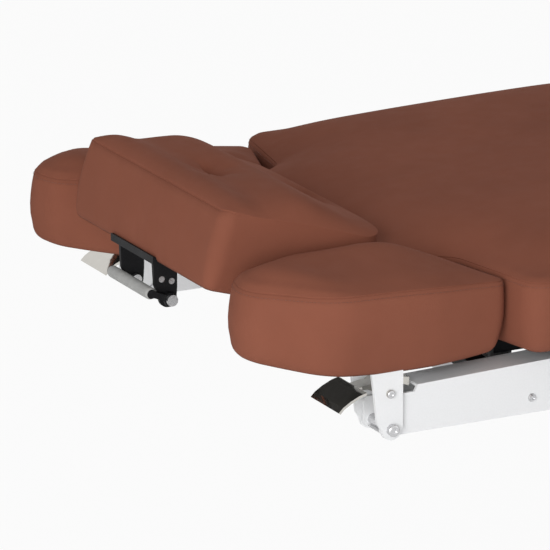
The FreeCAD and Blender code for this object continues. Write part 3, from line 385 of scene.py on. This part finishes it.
def inside(points, outline):
    """Whether each point lies inside the outline."""
    x, y = points[:, 0:1], points[:, 1:2]
    ax, ay = outline[:, 0], outline[:, 1]
    bx, by = np.roll(ax, -1), np.roll(ay, -1)
    crosses = (ay > y) != (by > y)
    with np.errstate(divide="ignore", invalid="ignore"):
        meets = x < (bx - ax) * (y - ay) / (by - ay) + ax
    return np.count_nonzero(crosses & meets, axis=1) % 2 == 1


def distance_in(points, outline):
    """Distance of each point from the outline's segments."""
    a = outline[None, :, :]
    along = np.roll(outline, -1, axis=0)[None, :, :] - a
    to = points[:, None, :] - a
    share = np.clip((to * along).sum(2) / (along * along).sum(2), 0, 1)
    return np.linalg.norm(to - along * share[:, :, None], axis=2).min(axis=1)


# Top panels: a staggered grid inside the edge, in shares of its spacing, filled with triangles
ROW_SHARE = 0.87
MARGIN_SHARE = 0.55
KEEP_INSIDE = 1
MERGE_WITHIN = 1e-5


def grid_in(outline, spacing):
    """Staggered points inside an outline, kept off its edge."""
    low, high = outline.min(axis=0), outline.max(axis=0)
    rows = np.arange(low[1], high[1], spacing * ROW_SHARE)
    points = []
    for i, y in enumerate(rows):
        xs = np.arange(low[0] + (i % 2) * spacing / 2, high[0], spacing)
        points.append(np.stack([xs, np.full_like(xs, y)], axis=1))
    points = np.concatenate(points)
    points = points[inside(points, outline)]
    return points[distance_in(points, outline) > MARGIN_SHARE * spacing]


def filled(outline, middle):
    """Triangles over an outline and loose points inside it, as indices into both in turn."""
    plan = [Vector(p) for p in np.concatenate([outline, middle])]
    made = delaunay_2d_cdt(plan, [], [list(range(len(outline)))], KEEP_INSIDE, MERGE_WITHIN)
    faces, sources = made[2:4]
    return [[sources[v][0] for v in face] for face in faces]


def evened(heights, faces, first, rounds):
    """Evens out a crown where its slopes from different edges meet, from point first on."""
    count = len(heights)
    pairs = np.array([(face[i], face[i - 1]) for face in faces for i in range(len(face))])
    pairs = np.concatenate([pairs, pairs[:, ::-1]])
    degree = np.bincount(pairs[:, 0], minlength=count)
    for _ in range(rounds):
        total = np.bincount(pairs[:, 0], weights=heights[pairs[:, 1]], minlength=count)
        heights[first:] = total[first:] / degree[first:]
    return heights


# Cushions
BASE_LIFT = 0.6
LINING_INSET = 2.5
LINING_INDEX = 1
SEAM_WIDTH = 1.3
SEAM_DEPTH = 2.4
# Groove of the sewn edge, up to the lip of the top panel: share of its width, share of its depth
SEAM_GROOVE = [(-1.0, 0.0), (-0.5, 0.5), (0.0, 1.0), (0.4, 0.65)]
LIP_RISE = SEAM_GROOVE[-1][0] * SEAM_WIDTH
TOP_STEPS = [0.8, 2.2, 4.5, 7.5]
# Side of a pad from its rolled lower edge up: share of the height, of the roll and of the bulge
SIDE_STEPS = [
    (0.0, 1.0, 0.0),
    (0.03, 0.66, 0.0),
    (0.07, 0.40, 0.0),
    (0.13, 0.17, 0.0),
    (0.22, 0.0, 0.0),
    (0.35, 0.0, 0.7),
    (0.5, 0.0, 1.0),
    (0.65, 0.0, 0.95),
    (0.8, 0.0, 0.7),
    (0.9, 0.0, 0.4),
]


def side_rings(outline, board, low, seam, roll, bulge, sewn):
    """Rings of a pad from its lined underside to the lip of its top panel: plans and heights."""
    normals = outward(outline)
    ones = np.ones(len(outline))
    drawn = SEAM_DEPTH * sewn * ones
    rings = [((board + BASE_LIFT) * ones, (roll + LINING_INSET) * ones)]
    for share, rolled, full in SIDE_STEPS:
        rings.append((low + share * (seam - low) * ones, (rolled * roll - full * bulge) * ones))
    for share, part in SEAM_GROOVE:
        rings.append((seam + share * SEAM_WIDTH * ones, part * drawn))
    plans = [outline - normals * inset[:, None] for _, inset in rings]
    heights = [height for height, _ in rings]
    return plans, heights


def cushion(name, body, node, outline, board, low, seam, roll, bulge, top, place, spacing, rounds, sewn=1.0):
    """Upholstered pad: a lined underside, rings up its sides, a sewn groove and a full top panel.

    board is the height of the underside, low the height of the rolled lower edge, seam the height
    of the sewn edge and sewn the depth of its groove from 0 to 1, each along the outline. roll and
    bulge are the inset of the lower edge and the fullness of the sides. top gives the height of the
    top panel from the place in plan and the distance to the edge, and rounds is how often it is
    evened out.
    """
    count = len(outline)
    normals = outward(outline)
    plans, heights = side_rings(outline, board, low, seam, roll, bulge, sewn)
    lip = plans[-1]
    for step in TOP_STEPS:
        ring = lip - normals * step
        plans.append(ring)
        heights.append(LIP_RISE + top(ring, step * np.ones(count)))
    levels = len(plans)
    edge = plans[-1]
    middle = grid_in(edge, spacing)
    plans.append(middle)
    heights.append(LIP_RISE + top(middle, distance_in(middle, lip)))
    first = count * (levels - 1)
    panel = [[first + v for v in face] for face in filled(edge, middle)]
    plan = np.concatenate(plans)
    height = evened(np.concatenate(heights), panel, count * levels, rounds)

    underside = [face[::-1] for face in filled(plan[:count], plan[:0])]
    faces = underside + bands(0, levels, count) + panel
    points = [place(x, y, z) for (x, y), z in zip(plan, height)]
    pad = new_piece(name, body, points, faces, [MATERIALS["upholstery"], LINING])
    for polygon in pad.data.polygons[:len(underside)]:
        polygon.material_index = LINING_INDEX
    face_outward(pad.data)
    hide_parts(node)


STITCH_DROP = 5.0
STITCH_PITCH = 5.0
STITCH_OUT = 0.3
STITCH_SIDES = 6
# A stitch from end to end: share of the pitch, radius
STITCH_SECTIONS = [(-0.36, 0.12), (-0.22, 0.34), (0.0, 0.4), (0.22, 0.34), (0.36, 0.12)]


def stitching(name, body, outline, seam, bulge, place):
    """Row of short raised stitches under a seam whose height is given along its outline."""
    steps = np.linalg.norm(np.roll(outline, -1, axis=0) - outline, axis=1)
    walked = np.concatenate([[0], np.cumsum(steps)])
    height = (seam - STITCH_DROP) * np.ones(len(outline))
    track = np.column_stack([outline, outward(outline), height])
    track = np.concatenate([track, track[:1]])
    count = int(walked[-1] / STITCH_PITCH)
    points = []
    faces = []
    for k in range(count):
        faces += capped_bands(len(points), len(STITCH_SECTIONS), STITCH_SIDES)
        for share, radius in STITCH_SECTIONS:
            s = (k + 0.5 + share) * walked[-1] / count
            x, y, nx, ny, z = (np.interp(s, walked, column) for column in track.T)
            for turn in range(STITCH_SIDES):
                angle = 2 * math.pi * turn / STITCH_SIDES
                out = radius * math.cos(angle) + STITCH_OUT * bulge
                points.append(place(x + nx * out, y + ny * out, z + radius * math.sin(angle)))
    new_piece(name, body, points, faces, [THREAD])


def crown(depth, height, reach, power):
    """Rise over the seam: steep at the edge, level from reach inwards."""
    share = np.clip(depth / reach, 0, 1)
    return height * (1 - (1 - share) ** power)


def eased(share):
    """From 0 to 1 with a level start and end."""
    return share**2 * (3 - 2 * share)


def smooth_curve(x, points):
    """Smooth curve through points with rising places."""
    places, values = np.array(points).T
    slopes = np.gradient(values, places)
    i = np.clip(np.searchsorted(places, x) - 1, 0, len(places) - 2)
    run = places[i + 1] - places[i]
    t = np.clip((x - places[i]) / run, 0, 1)
    return (
        values[i] * (1 + 2 * t) * (1 - t) ** 2
        + slopes[i] * run * t * (1 - t) ** 2
        + values[i + 1] * t**2 * (3 - 2 * t)
        + slopes[i + 1] * run * t**2 * (t - 1)
    )


def unevenness(plan, size, amount, seed):
    """Slow waves of hand-stretched upholstery."""
    return np.array([amount * noise.noise(Vector((x / size, y / size, seed))) for x, y in plan])


# Sections: backrest, seat and leg rest
PAD_BASE = 78.0
PAD_SEAM = 167.0
PAD_HALF = 393.0
PAD_BULGE = 3.0
PAD_HANG = 4.0
PAD_ROLL = 14.0
PAD_STEP = 7.0
PAD_SPACING = 9.0
PAD_ROUNDS = 25
PAD_WAVE = 130.0
PAD_WAVE_RISE = 0.4
SECTION_POWER = 2.9
SECTION_CROWN = 47.0
SECTION_REACH = 150.0
CORNER_R = 18.0
LEG_END_R = 70.0


def section_ends(node):
    low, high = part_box(node)
    return from_pivot(low).x + PAD_BULGE, from_pivot(high).x - PAD_BULGE


def section_pad(name, body, node, corners, rise, seed):
    """Cushion of one section, with its row of stitches."""
    outline = rounded_outline(corners, PAD_STEP)

    def top(plan, depth):
        return PAD_SEAM + rise(plan, depth) + unevenness(plan, PAD_WAVE, PAD_WAVE_RISE, seed)

    cushion(
        name,
        body,
        node,
        outline,
        board=PAD_BASE,
        low=PAD_BASE - PAD_HANG,
        seam=PAD_SEAM,
        roll=PAD_ROLL,
        bulge=PAD_BULGE,
        top=top,
        place=at,
        spacing=PAD_SPACING,
        rounds=PAD_ROUNDS,
    )
    stitching(name + "_stitching", body, outline, PAD_SEAM, PAD_BULGE, at)


def plain_rise(plan, depth):
    return crown(depth, SECTION_CROWN, SECTION_REACH, SECTION_POWER)


# Backrest: narrow neck between the armrests, then shoulders
NECK_HALF = 192.0
SHOULDER_IN_X = 74.0
SHOULDER_IN_Y = 51.0
SHOULDER_X = 102.0
NECK_R = 24.0
SHOULDER_IN_R = 30.0
SHOULDER_R = 30.0
BACK_CROWN = 50.0
HEAD_SHARE = 0.48
HEAD_RISE = 600.0

back_x0, back_x1 = section_ends("backrest_pad")
back_side = [
    (back_x0, -NECK_HALF, NECK_R),
    (back_x0 + SHOULDER_IN_X, -NECK_HALF - SHOULDER_IN_Y, SHOULDER_IN_R),
    (back_x0 + SHOULDER_X, -PAD_HALF, SHOULDER_R),
    (back_x1, -PAD_HALF, CORNER_R),
]
back_corners = back_side + [(x, -y, r) for x, y, r in reversed(back_side)]


def back_rise(plan, depth):
    """The crown builds up slowly from the head end."""
    run = np.clip((plan[:, 0] - back_x0) / HEAD_RISE, 0, 1)
    share = 1 - (1 - HEAD_SHARE) * (1 - run) ** 2
    return share * crown(depth, BACK_CROWN, SECTION_REACH, SECTION_POWER)


section_pad("backrest_cushion", "back", "backrest_pad", back_corners, back_rise, seed=3.0)

# Seat and leg rest
seat_x0, seat_x1 = section_ends("seat_pad")
seat_corners = box_corners(seat_x0, seat_x1, PAD_HALF, CORNER_R, CORNER_R)
section_pad("seat_cushion", "top_frame", "seat_pad", seat_corners, plain_rise, seed=11.0)
leg_x0, leg_x1 = section_ends("leg_pad")
leg_corners = box_corners(leg_x0, leg_x1, PAD_HALF, CORNER_R, LEG_END_R)
section_pad("leg_cushion", "leg", "leg_pad", leg_corners, plain_rise, seed=19.0)

# Armrests: nose up, and thickest in the middle
ARM_TILT = math.radians(3.7)
ARM_RAIL_Y = 334.0
ARM_SEAM = 175.0
ARM_CROWN = 23.0
ARM_CROWN_REACH = 40.0
ARM_CROWN_POWER = 2.2
ARM_CROWN_LOSS = 0.4
ARM_CROWN_FALL = 130.0
# Behind the nose the top slopes down from the inner edge to the outer one
ARM_INNER_RISE = 18.0
ARM_INNER_X = 40.0
ARM_INNER_RUN = 80.0
ARM_OUTER_LOSS = 0.75
ARM_OUTER_X = -150.0
ARM_OUTER_RUN = 110.0
ARM_BULGE = 4.0
ARM_ROLL = 10.0
ARM_LOW_BOW = 5.0
ARM_LOW_RISE = 11.5
ARM_SEAM_BOW = 3.0
ARM_BOW_X = -10.0
ARM_BOW_RUN = 165.0
ARM_WAVE = 70.0
ARM_WAVE_RISE = 0.3
ARM_SEED = 27.0
ARM_STEP = 4.0
ARM_SPACING = 6.0
ARM_ROUNDS = 8
# Corners in plan: along, outward from the middle of the rail, radius
ARM_PLAN = [
    (161.0, 19.0, 16.0),
    (58.0, 34.0, 200.0),
    (-102.0, 46.0, 90.0),
    (-190.0, -27.0, 45.0),
    (-177.0, -81.0, 40.0),
    (-91.0, -127.0, 110.0),
    (64.0, -127.0, 60.0),
    (125.0, -85.0, 40.0),
]

arm_outline = rounded_outline([(x, ARM_RAIL_Y + y, r) for x, y, r in ARM_PLAN], ARM_STEP)
arm_outer_y = arm_outline[:, 1].max()
arm_width = np.ptp(arm_outline[:, 1])


def arm_place(side):
    """Left or right of the lounger, turned nose up about the pivot."""
    def place(x, y, z):
        ahead = x * math.cos(ARM_TILT) + z * math.sin(ARM_TILT)
        return at(ahead, side * y, z * math.cos(ARM_TILT) - x * math.sin(ARM_TILT))
    return place


def arm_run(plan):
    """Square of the distance along from the middle, 1 near both ends."""
    return ((plan[:, 0] - ARM_BOW_X) / ARM_BOW_RUN) ** 2


def arm_seam(plan):
    return ARM_SEAM + ARM_SEAM_BOW * (1 - arm_run(plan))


def arm_top(plan, depth):
    """Height of the top: lower towards the rear and the outer side, fuller beside the headrest."""
    fall = np.clip(plan[:, 0] / ARM_CROWN_FALL, 0, 1)
    inner = np.clip((arm_outer_y - plan[:, 1]) / arm_width, 0, 1)
    behind = np.clip((plan[:, 0] - ARM_OUTER_X) / ARM_OUTER_RUN, 0, 1)
    along = np.exp(-(((plan[:, 0] - ARM_INNER_X) / ARM_INNER_RUN) ** 2))
    height = ARM_CROWN * (1 - ARM_CROWN_LOSS * eased(fall))
    height = height * (1 - ARM_OUTER_LOSS * (1 - inner) * eased(behind))
    height = height + ARM_INNER_RISE * inner**2 * along
    rise = crown(depth, height, ARM_CROWN_REACH, ARM_CROWN_POWER)
    return arm_seam(plan) + rise + unevenness(plan, ARM_WAVE, ARM_WAVE_RISE, ARM_SEED)


arm_low = PAD_BASE - ARM_LOW_BOW + ARM_LOW_RISE * arm_run(arm_outline)
for side, word in SIDES:
    body = "armrest_" + word
    cushion(
        body + "_cushion",
        body,
        "armrest_pad_" + word,
        arm_outline,
        board=np.maximum(PAD_BASE, arm_low),
        low=arm_low,
        seam=arm_seam(arm_outline),
        roll=ARM_ROLL,
        bulge=ARM_BULGE,
        top=arm_top,
        place=arm_place(side),
        spacing=ARM_SPACING,
        rounds=ARM_ROUNDS,
    )
    stitching(body + "_stitching", body, arm_outline, arm_seam(arm_outline), ARM_BULGE, arm_place(side))

# Headrest, in its own flat frame: s from its back edge to the head, w up from its underside
HEADREST_TILT = math.radians(16.5)
HEADREST_LENGTH = 232.0
HEADREST_HALF = 198.0
HEADREST_SIDE = 95.0
HEADREST_BACK_X = 51.0
HEADREST_BACK_Z = 96.0
HEADREST_BULGE = 3.0
HEADREST_LOW = -5.0
HEADREST_ROLL = 8.0
HEADREST_STEP = 4.0
HEADREST_SPACING = 2.5
HEADREST_ROUNDS = 1
HEADREST_FADE = 10.0
HEADREST_WAVE = 60.0
HEADREST_WAVE_RISE = 0.4
HEADREST_SEED = 41.0
HEAD_CORNER_R = 18.0
BACK_CORNER_R = 28.0
HEAD_SWELL = 32.0
HEAD_EDGE_SHARE = 0.1
HEAD_EDGE_RUN = 19.0
SEAM_FADE = 40.0
# Top of the side profile: share of the length from the back edge, share of the swell
HEAD_TOP = [
    (0.0, 0.43),
    (0.034, 0.46),
    (0.086, 0.50),
    (0.172, 0.59),
    (0.31, 0.82),
    (0.39, 0.98),
    (0.46, 1.09),
    (0.54, 1.07),
    (0.62, 0.89),
    (0.69, 0.70),
    (0.741, 0.57),
    (0.797, 0.53),
    (0.853, 0.58),
    (0.905, 0.57),
    (0.974, 0.26),
    (1.0, 0.0),
]
# The dip is shallower in the middle of the width: its place, run and fill
DIP_PLACE = 170.0
DIP_RUN = 32.0
DIP_FILL = 0.17
# Pinches across the top: distance from the back edge, place across, half length, hollow around it
TUFTS = [(20.0, -8.0, 32.0, 10.0), (156.0, -8.0, 28.0, 11.0)]
HOLLOW_RUN = 26.0
HOLLOW_SPAN = 1.7
CREASE_DEPTH = 15.0
CREASE_RUN = 2.8
# Puckers stand round each pinch, drawn out across
PUCKERS = 7
PUCKER_RISE = 0.6
PUCKER_SPAN = 1.6
PUCKER_FAR = 22.0
PUCKER_RUN = 14.0


def head_place(s, y, w):
    x = HEADREST_BACK_X - s * math.cos(HEADREST_TILT) + w * math.sin(HEADREST_TILT)
    z = HEADREST_BACK_Z + s * math.sin(HEADREST_TILT) + w * math.cos(HEADREST_TILT)
    return at(x, y, z)


def head_height(plan):
    """Height of the top: roll at the head, dip, hump, and soft edges along both sides."""
    across = np.clip(1 - (plan[:, 1] / HEADREST_HALF) ** 2, 0, 1)
    fill = DIP_FILL * across * np.exp(-(((plan[:, 0] - DIP_PLACE) / DIP_RUN) ** 2))
    swell = HEAD_SWELL * (smooth_curve(plan[:, 0] / HEADREST_LENGTH, HEAD_TOP) + fill)
    from_side = np.clip(HEADREST_HALF - np.abs(plan[:, 1]), 0, None)
    return HEADREST_SIDE + swell * (1 - (1 - HEAD_EDGE_SHARE) * np.exp(-from_side / HEAD_EDGE_RUN))


def tufts(plan):
    """Sewn pinches: a soft hollow, a sharp crease across and small puckers around it."""
    drop = np.zeros(len(plan))
    for s0, y0, half, hollow in TUFTS:
        ds = plan[:, 0] - s0
        dy = plan[:, 1] - y0
        drop += hollow * np.exp(-((ds / HOLLOW_RUN) ** 2) - (dy / (HOLLOW_SPAN * half)) ** 2)
        drop += CREASE_DEPTH * np.exp(-np.abs(ds) / CREASE_RUN) * np.exp(-((dy / half) ** 4))
        far = np.hypot(ds, dy / PUCKER_SPAN)
        turn = np.arctan2(ds, dy / PUCKER_SPAN)
        ring = np.exp(-(((far - PUCKER_FAR) / PUCKER_RUN) ** 2))
        drop += PUCKER_RISE * np.cos(PUCKERS * turn + s0) * ring
    return drop


def head_top(plan, depth):
    """Tufts and waves fade out towards the sewn edge."""
    kept = np.clip(depth / HEADREST_FADE, 0, 1)
    waves = unevenness(plan, HEADREST_WAVE, HEADREST_WAVE_RISE, HEADREST_SEED)
    return head_height(plan) - kept * tufts(plan) + kept * waves


head_corners = box_corners(0.0, HEADREST_LENGTH, HEADREST_HALF, BACK_CORNER_R, HEAD_CORNER_R)
head_outline = rounded_outline(head_corners, HEADREST_STEP)
cushion(
    "headrest_cushion",
    "headrest",
    "headrest_pad",
    head_outline,
    board=0.0,
    low=HEADREST_LOW,
    seam=head_height(head_outline),
    roll=HEADREST_ROLL,
    bulge=HEADREST_BULGE,
    top=head_top,
    place=head_place,
    spacing=HEADREST_SPACING,
    rounds=HEADREST_ROUNDS,
    sewn=np.clip(1 - (HEADREST_LENGTH - head_outline[:, 0]) / SEAM_FADE, 0, 1),
)


# Turned pieces: bolt heads and the grip
def turned(name, body, slot, centre, axis, profile, sides):
    """Solid of revolution: profile is (distance along the axis, radius) in mm, from end to end."""
    swing = Vector(axis).to_track_quat("Z", "Y").to_matrix()
    points = []
    for along, radius in profile:
        for k in range(sides):
            angle = 2 * math.pi * k / sides
            local = Vector((radius * math.cos(angle), radius * math.sin(angle), along)) * MM
            points.append(centre + swing @ local)
    faces = capped_bands(0, len(profile), sides)
    piece = new_piece(name, body, points, faces, [MATERIALS[slot]])
    for cap in piece.data.polygons[-2:]:
        cap.use_smooth = False
    return piece


# Bolt heads: radius and height of each kind, and the place of the paddles' shafts
PIVOT_BOLT = (7.9, 3.2)
PADDLE_BOLT = (5.2, 2.0)
PADDLE_SHAFT_X = -3.0
PADDLE_SHAFT_Z = 47.0
BOLT_SIDES = 36
BOLT_SUNK = 0.4
BOLT_FOOT = 0.96
SOCKET_SHARE = 0.42
SOCKET_EDGE = 0.25
# Dome and socket: share of the head's height, share of the head's radius or of the socket's
BOLT_DOME = [(0.15, 1.0), (0.45, 0.97), (0.72, 0.86), (0.9, 0.70)]
BOLT_SOCKET = [(0.97, 1.0), (0.35, 0.92), (0.3, 0.6), (0.34, 0.1)]


def bolt_head(name, body, centre, axis, radius, tall):
    """Domed head with a socket in its middle."""
    socket = SOCKET_SHARE * radius
    profile = [(-BOLT_SUNK, BOLT_FOOT * radius)]
    profile += [(rise * tall, wide * radius) for rise, wide in BOLT_DOME]
    profile.append((tall, socket + SOCKET_EDGE))
    profile += [(rise * tall, wide * socket) for rise, wide in BOLT_SOCKET]
    turned(name, body, "bright_steel", centre, axis, profile, BOLT_SIDES)


paddle_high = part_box("release_paddle_left")[1]
for side, word in SIDES:
    out = (0, side, 0)
    pivot_end = at(0, side * pivot_high.y / MM, 0)
    bolt_head("armrest_pivot_head_" + word, "top_frame", pivot_end, out, *PIVOT_BOLT)
    shaft_end = at(PADDLE_SHAFT_X, side * paddle_high.y / MM, PADDLE_SHAFT_Z)
    bolt_head("paddle_shaft_head_" + word, "release_paddle_" + word, shaft_end, out, *PADDLE_BOLT)

# Grip: foam sleeve with rounded ends, drawn over the ends of the lever
SLEEVE_OVER = 0.8
SLEEVE_PAST = 8.6
SLEEVE_END_R = 6.0
SLEEVE_END_STEPS = 8
SLEEVE_BORE_R = 4.3
SLEEVE_SIDES = 48

low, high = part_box("latch_grip")
grip_r = (high.z - low.z) / 2 / MM + SLEEVE_OVER
grip_half = (high.y - low.y) / 2 / MM + SLEEVE_PAST
grip_profile = []
for k in range(SLEEVE_END_STEPS + 1):
    angle = math.pi / 2 * k / SLEEVE_END_STEPS
    along = -grip_half + SLEEVE_END_R * (1 - math.cos(angle))
    grip_profile.append((along, SLEEVE_BORE_R + (grip_r - SLEEVE_BORE_R) * math.sin(angle)))
grip_profile += [(-along, radius) for along, radius in reversed(grip_profile)]
middle = (low + high) / 2
grip = turned("grip_sleeve", "latch_lever", "grey_foam", middle, (0, 1, 0), grip_profile, SLEEVE_SIDES)
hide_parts("latch_grip")

# Camera, fitted to the photograph
CAMERA_TURN = math.radians(27.37)
CAMERA_RISE = math.radians(16.8)
CAMERA_REACH = 6500.0
CAMERA_SIDE = 143.7
CAMERA_UP = 190.3
AIM_Y = -364.5
LENS = 345.9
SENSOR_WIDTH = 36.0
CLIP_END = 100.0

right = Vector((math.cos(CAMERA_TURN), -math.sin(CAMERA_TURN), 0))
back = Vector((
    -math.sin(CAMERA_TURN) * math.cos(CAMERA_RISE),
    -math.cos(CAMERA_TURN) * math.cos(CAMERA_RISE),
    math.sin(CAMERA_RISE),
))
up = back.cross(right)
camera = link(bpy.data.objects.new("camera", bpy.data.cameras.new("camera")))
camera.data.lens = LENS
camera.data.sensor_width = SENSOR_WIDTH
camera.data.clip_end = CLIP_END
stand = at(0, AIM_Y, 0) + (back * CAMERA_REACH - right * CAMERA_SIDE + up * CAMERA_UP) * MM
turn = Matrix((right, up, back)).transposed().to_4x4()
camera.matrix_world = Matrix.Translation(stand) @ turn
bpy.context.scene.camera = camera

# Light, in metres and watts
LIGHT_TARGET = Vector((-0.45, 0, 0.65))
WORLD_LIGHT = 0.46
WORLD_SHOWN = 1.0


def area_light(name, direction, far, size, power):
    """Round lamp that faces the head end from a direction."""
    lamp = link(bpy.data.objects.new(name, bpy.data.lights.new(name, "AREA")))
    lamp.data.shape = "DISK"
    lamp.data.size = size
    lamp.data.energy = power
    away = Vector(direction).normalized()
    lamp.location = LIGHT_TARGET + away * far
    lamp.rotation_mode = "QUATERNION"
    lamp.rotation_quaternion = away.to_track_quat("Z", "Y")


def seen_directly(tree):
    """1 for rays that show the background: camera, glossy and transmission rays."""
    path = tree.nodes.new("ShaderNodeLightPath")
    seen = path.outputs["Is Camera Ray"]
    for ray in ("Is Glossy Ray", "Is Transmission Ray"):
        either = tree.nodes.new("ShaderNodeMath")
        either.operation = "MAXIMUM"
        tree.links.new(seen, either.inputs[0])
        tree.links.new(path.outputs[ray], either.inputs[1])
        seen = either.outputs[0]
    return seen


area_light("key", (-0.66, -0.72, 0.2), far=4.5, size=2.4, power=112.0)
area_light("fill", (0.75, -0.65, 0.35), far=5.0, size=2.6, power=12.0)

world = bpy.data.worlds.new("studio")
bpy.context.scene.world = world
world.use_nodes = True
sky = world.node_tree
background = sky.nodes["Background"]
strength = sky.nodes.new("ShaderNodeMapRange")
strength.inputs["To Min"].default_value = WORLD_LIGHT
strength.inputs["To Max"].default_value = WORLD_SHOWN
sky.links.new(seen_directly(sky), strength.inputs["Value"])
sky.links.new(strength.outputs["Result"], background.inputs["Strength"])
background.inputs["Color"].default_value = (1, 1, 1, 1)

# Floor: pale, keeps the shadow, and shows nearly white
FLOOR_HALF = 30.0
FLOOR_COLOUR = (0.85, 0.85, 0.85, 1)
FLOOR_ROUGH = 0.9
FLOOR_GLOW = 0.93


def floor_material():
    material, tree, shader = new_material("pale_floor")
    shader.inputs["Base Color"].default_value = FLOOR_COLOUR
    shader.inputs["Roughness"].default_value = FLOOR_ROUGH
    glow = tree.nodes.new("ShaderNodeEmission")
    mix = tree.nodes.new("ShaderNodeMixShader")
    share = tree.nodes.new("ShaderNodeMath")
    share.operation = "MULTIPLY"
    share.inputs[1].default_value = FLOOR_GLOW
    tree.links.new(seen_directly(tree), share.inputs[0])
    tree.links.new(share.outputs[0], mix.inputs["Fac"])
    tree.links.new(shader.outputs["BSDF"], mix.inputs[1])
    tree.links.new(glow.outputs["Emission"], mix.inputs[2])
    tree.links.new(mix.outputs["Shader"], tree.nodes["Material Output"].inputs["Surface"])
    return material


floor_mesh = bpy.data.meshes.new("floor")
floor_plan = [(-1, -1), (1, -1), (1, 1), (-1, 1)]
floor_mesh.from_pydata([(x * FLOOR_HALF, y * FLOOR_HALF, 0) for x, y in floor_plan], [], [(0, 1, 2, 3)])
floor_mesh.materials.append(floor_material())
floor = link(bpy.data.objects.new("floor", floor_mesh))

bpy.context.scene.view_settings.view_transform = "Standard"
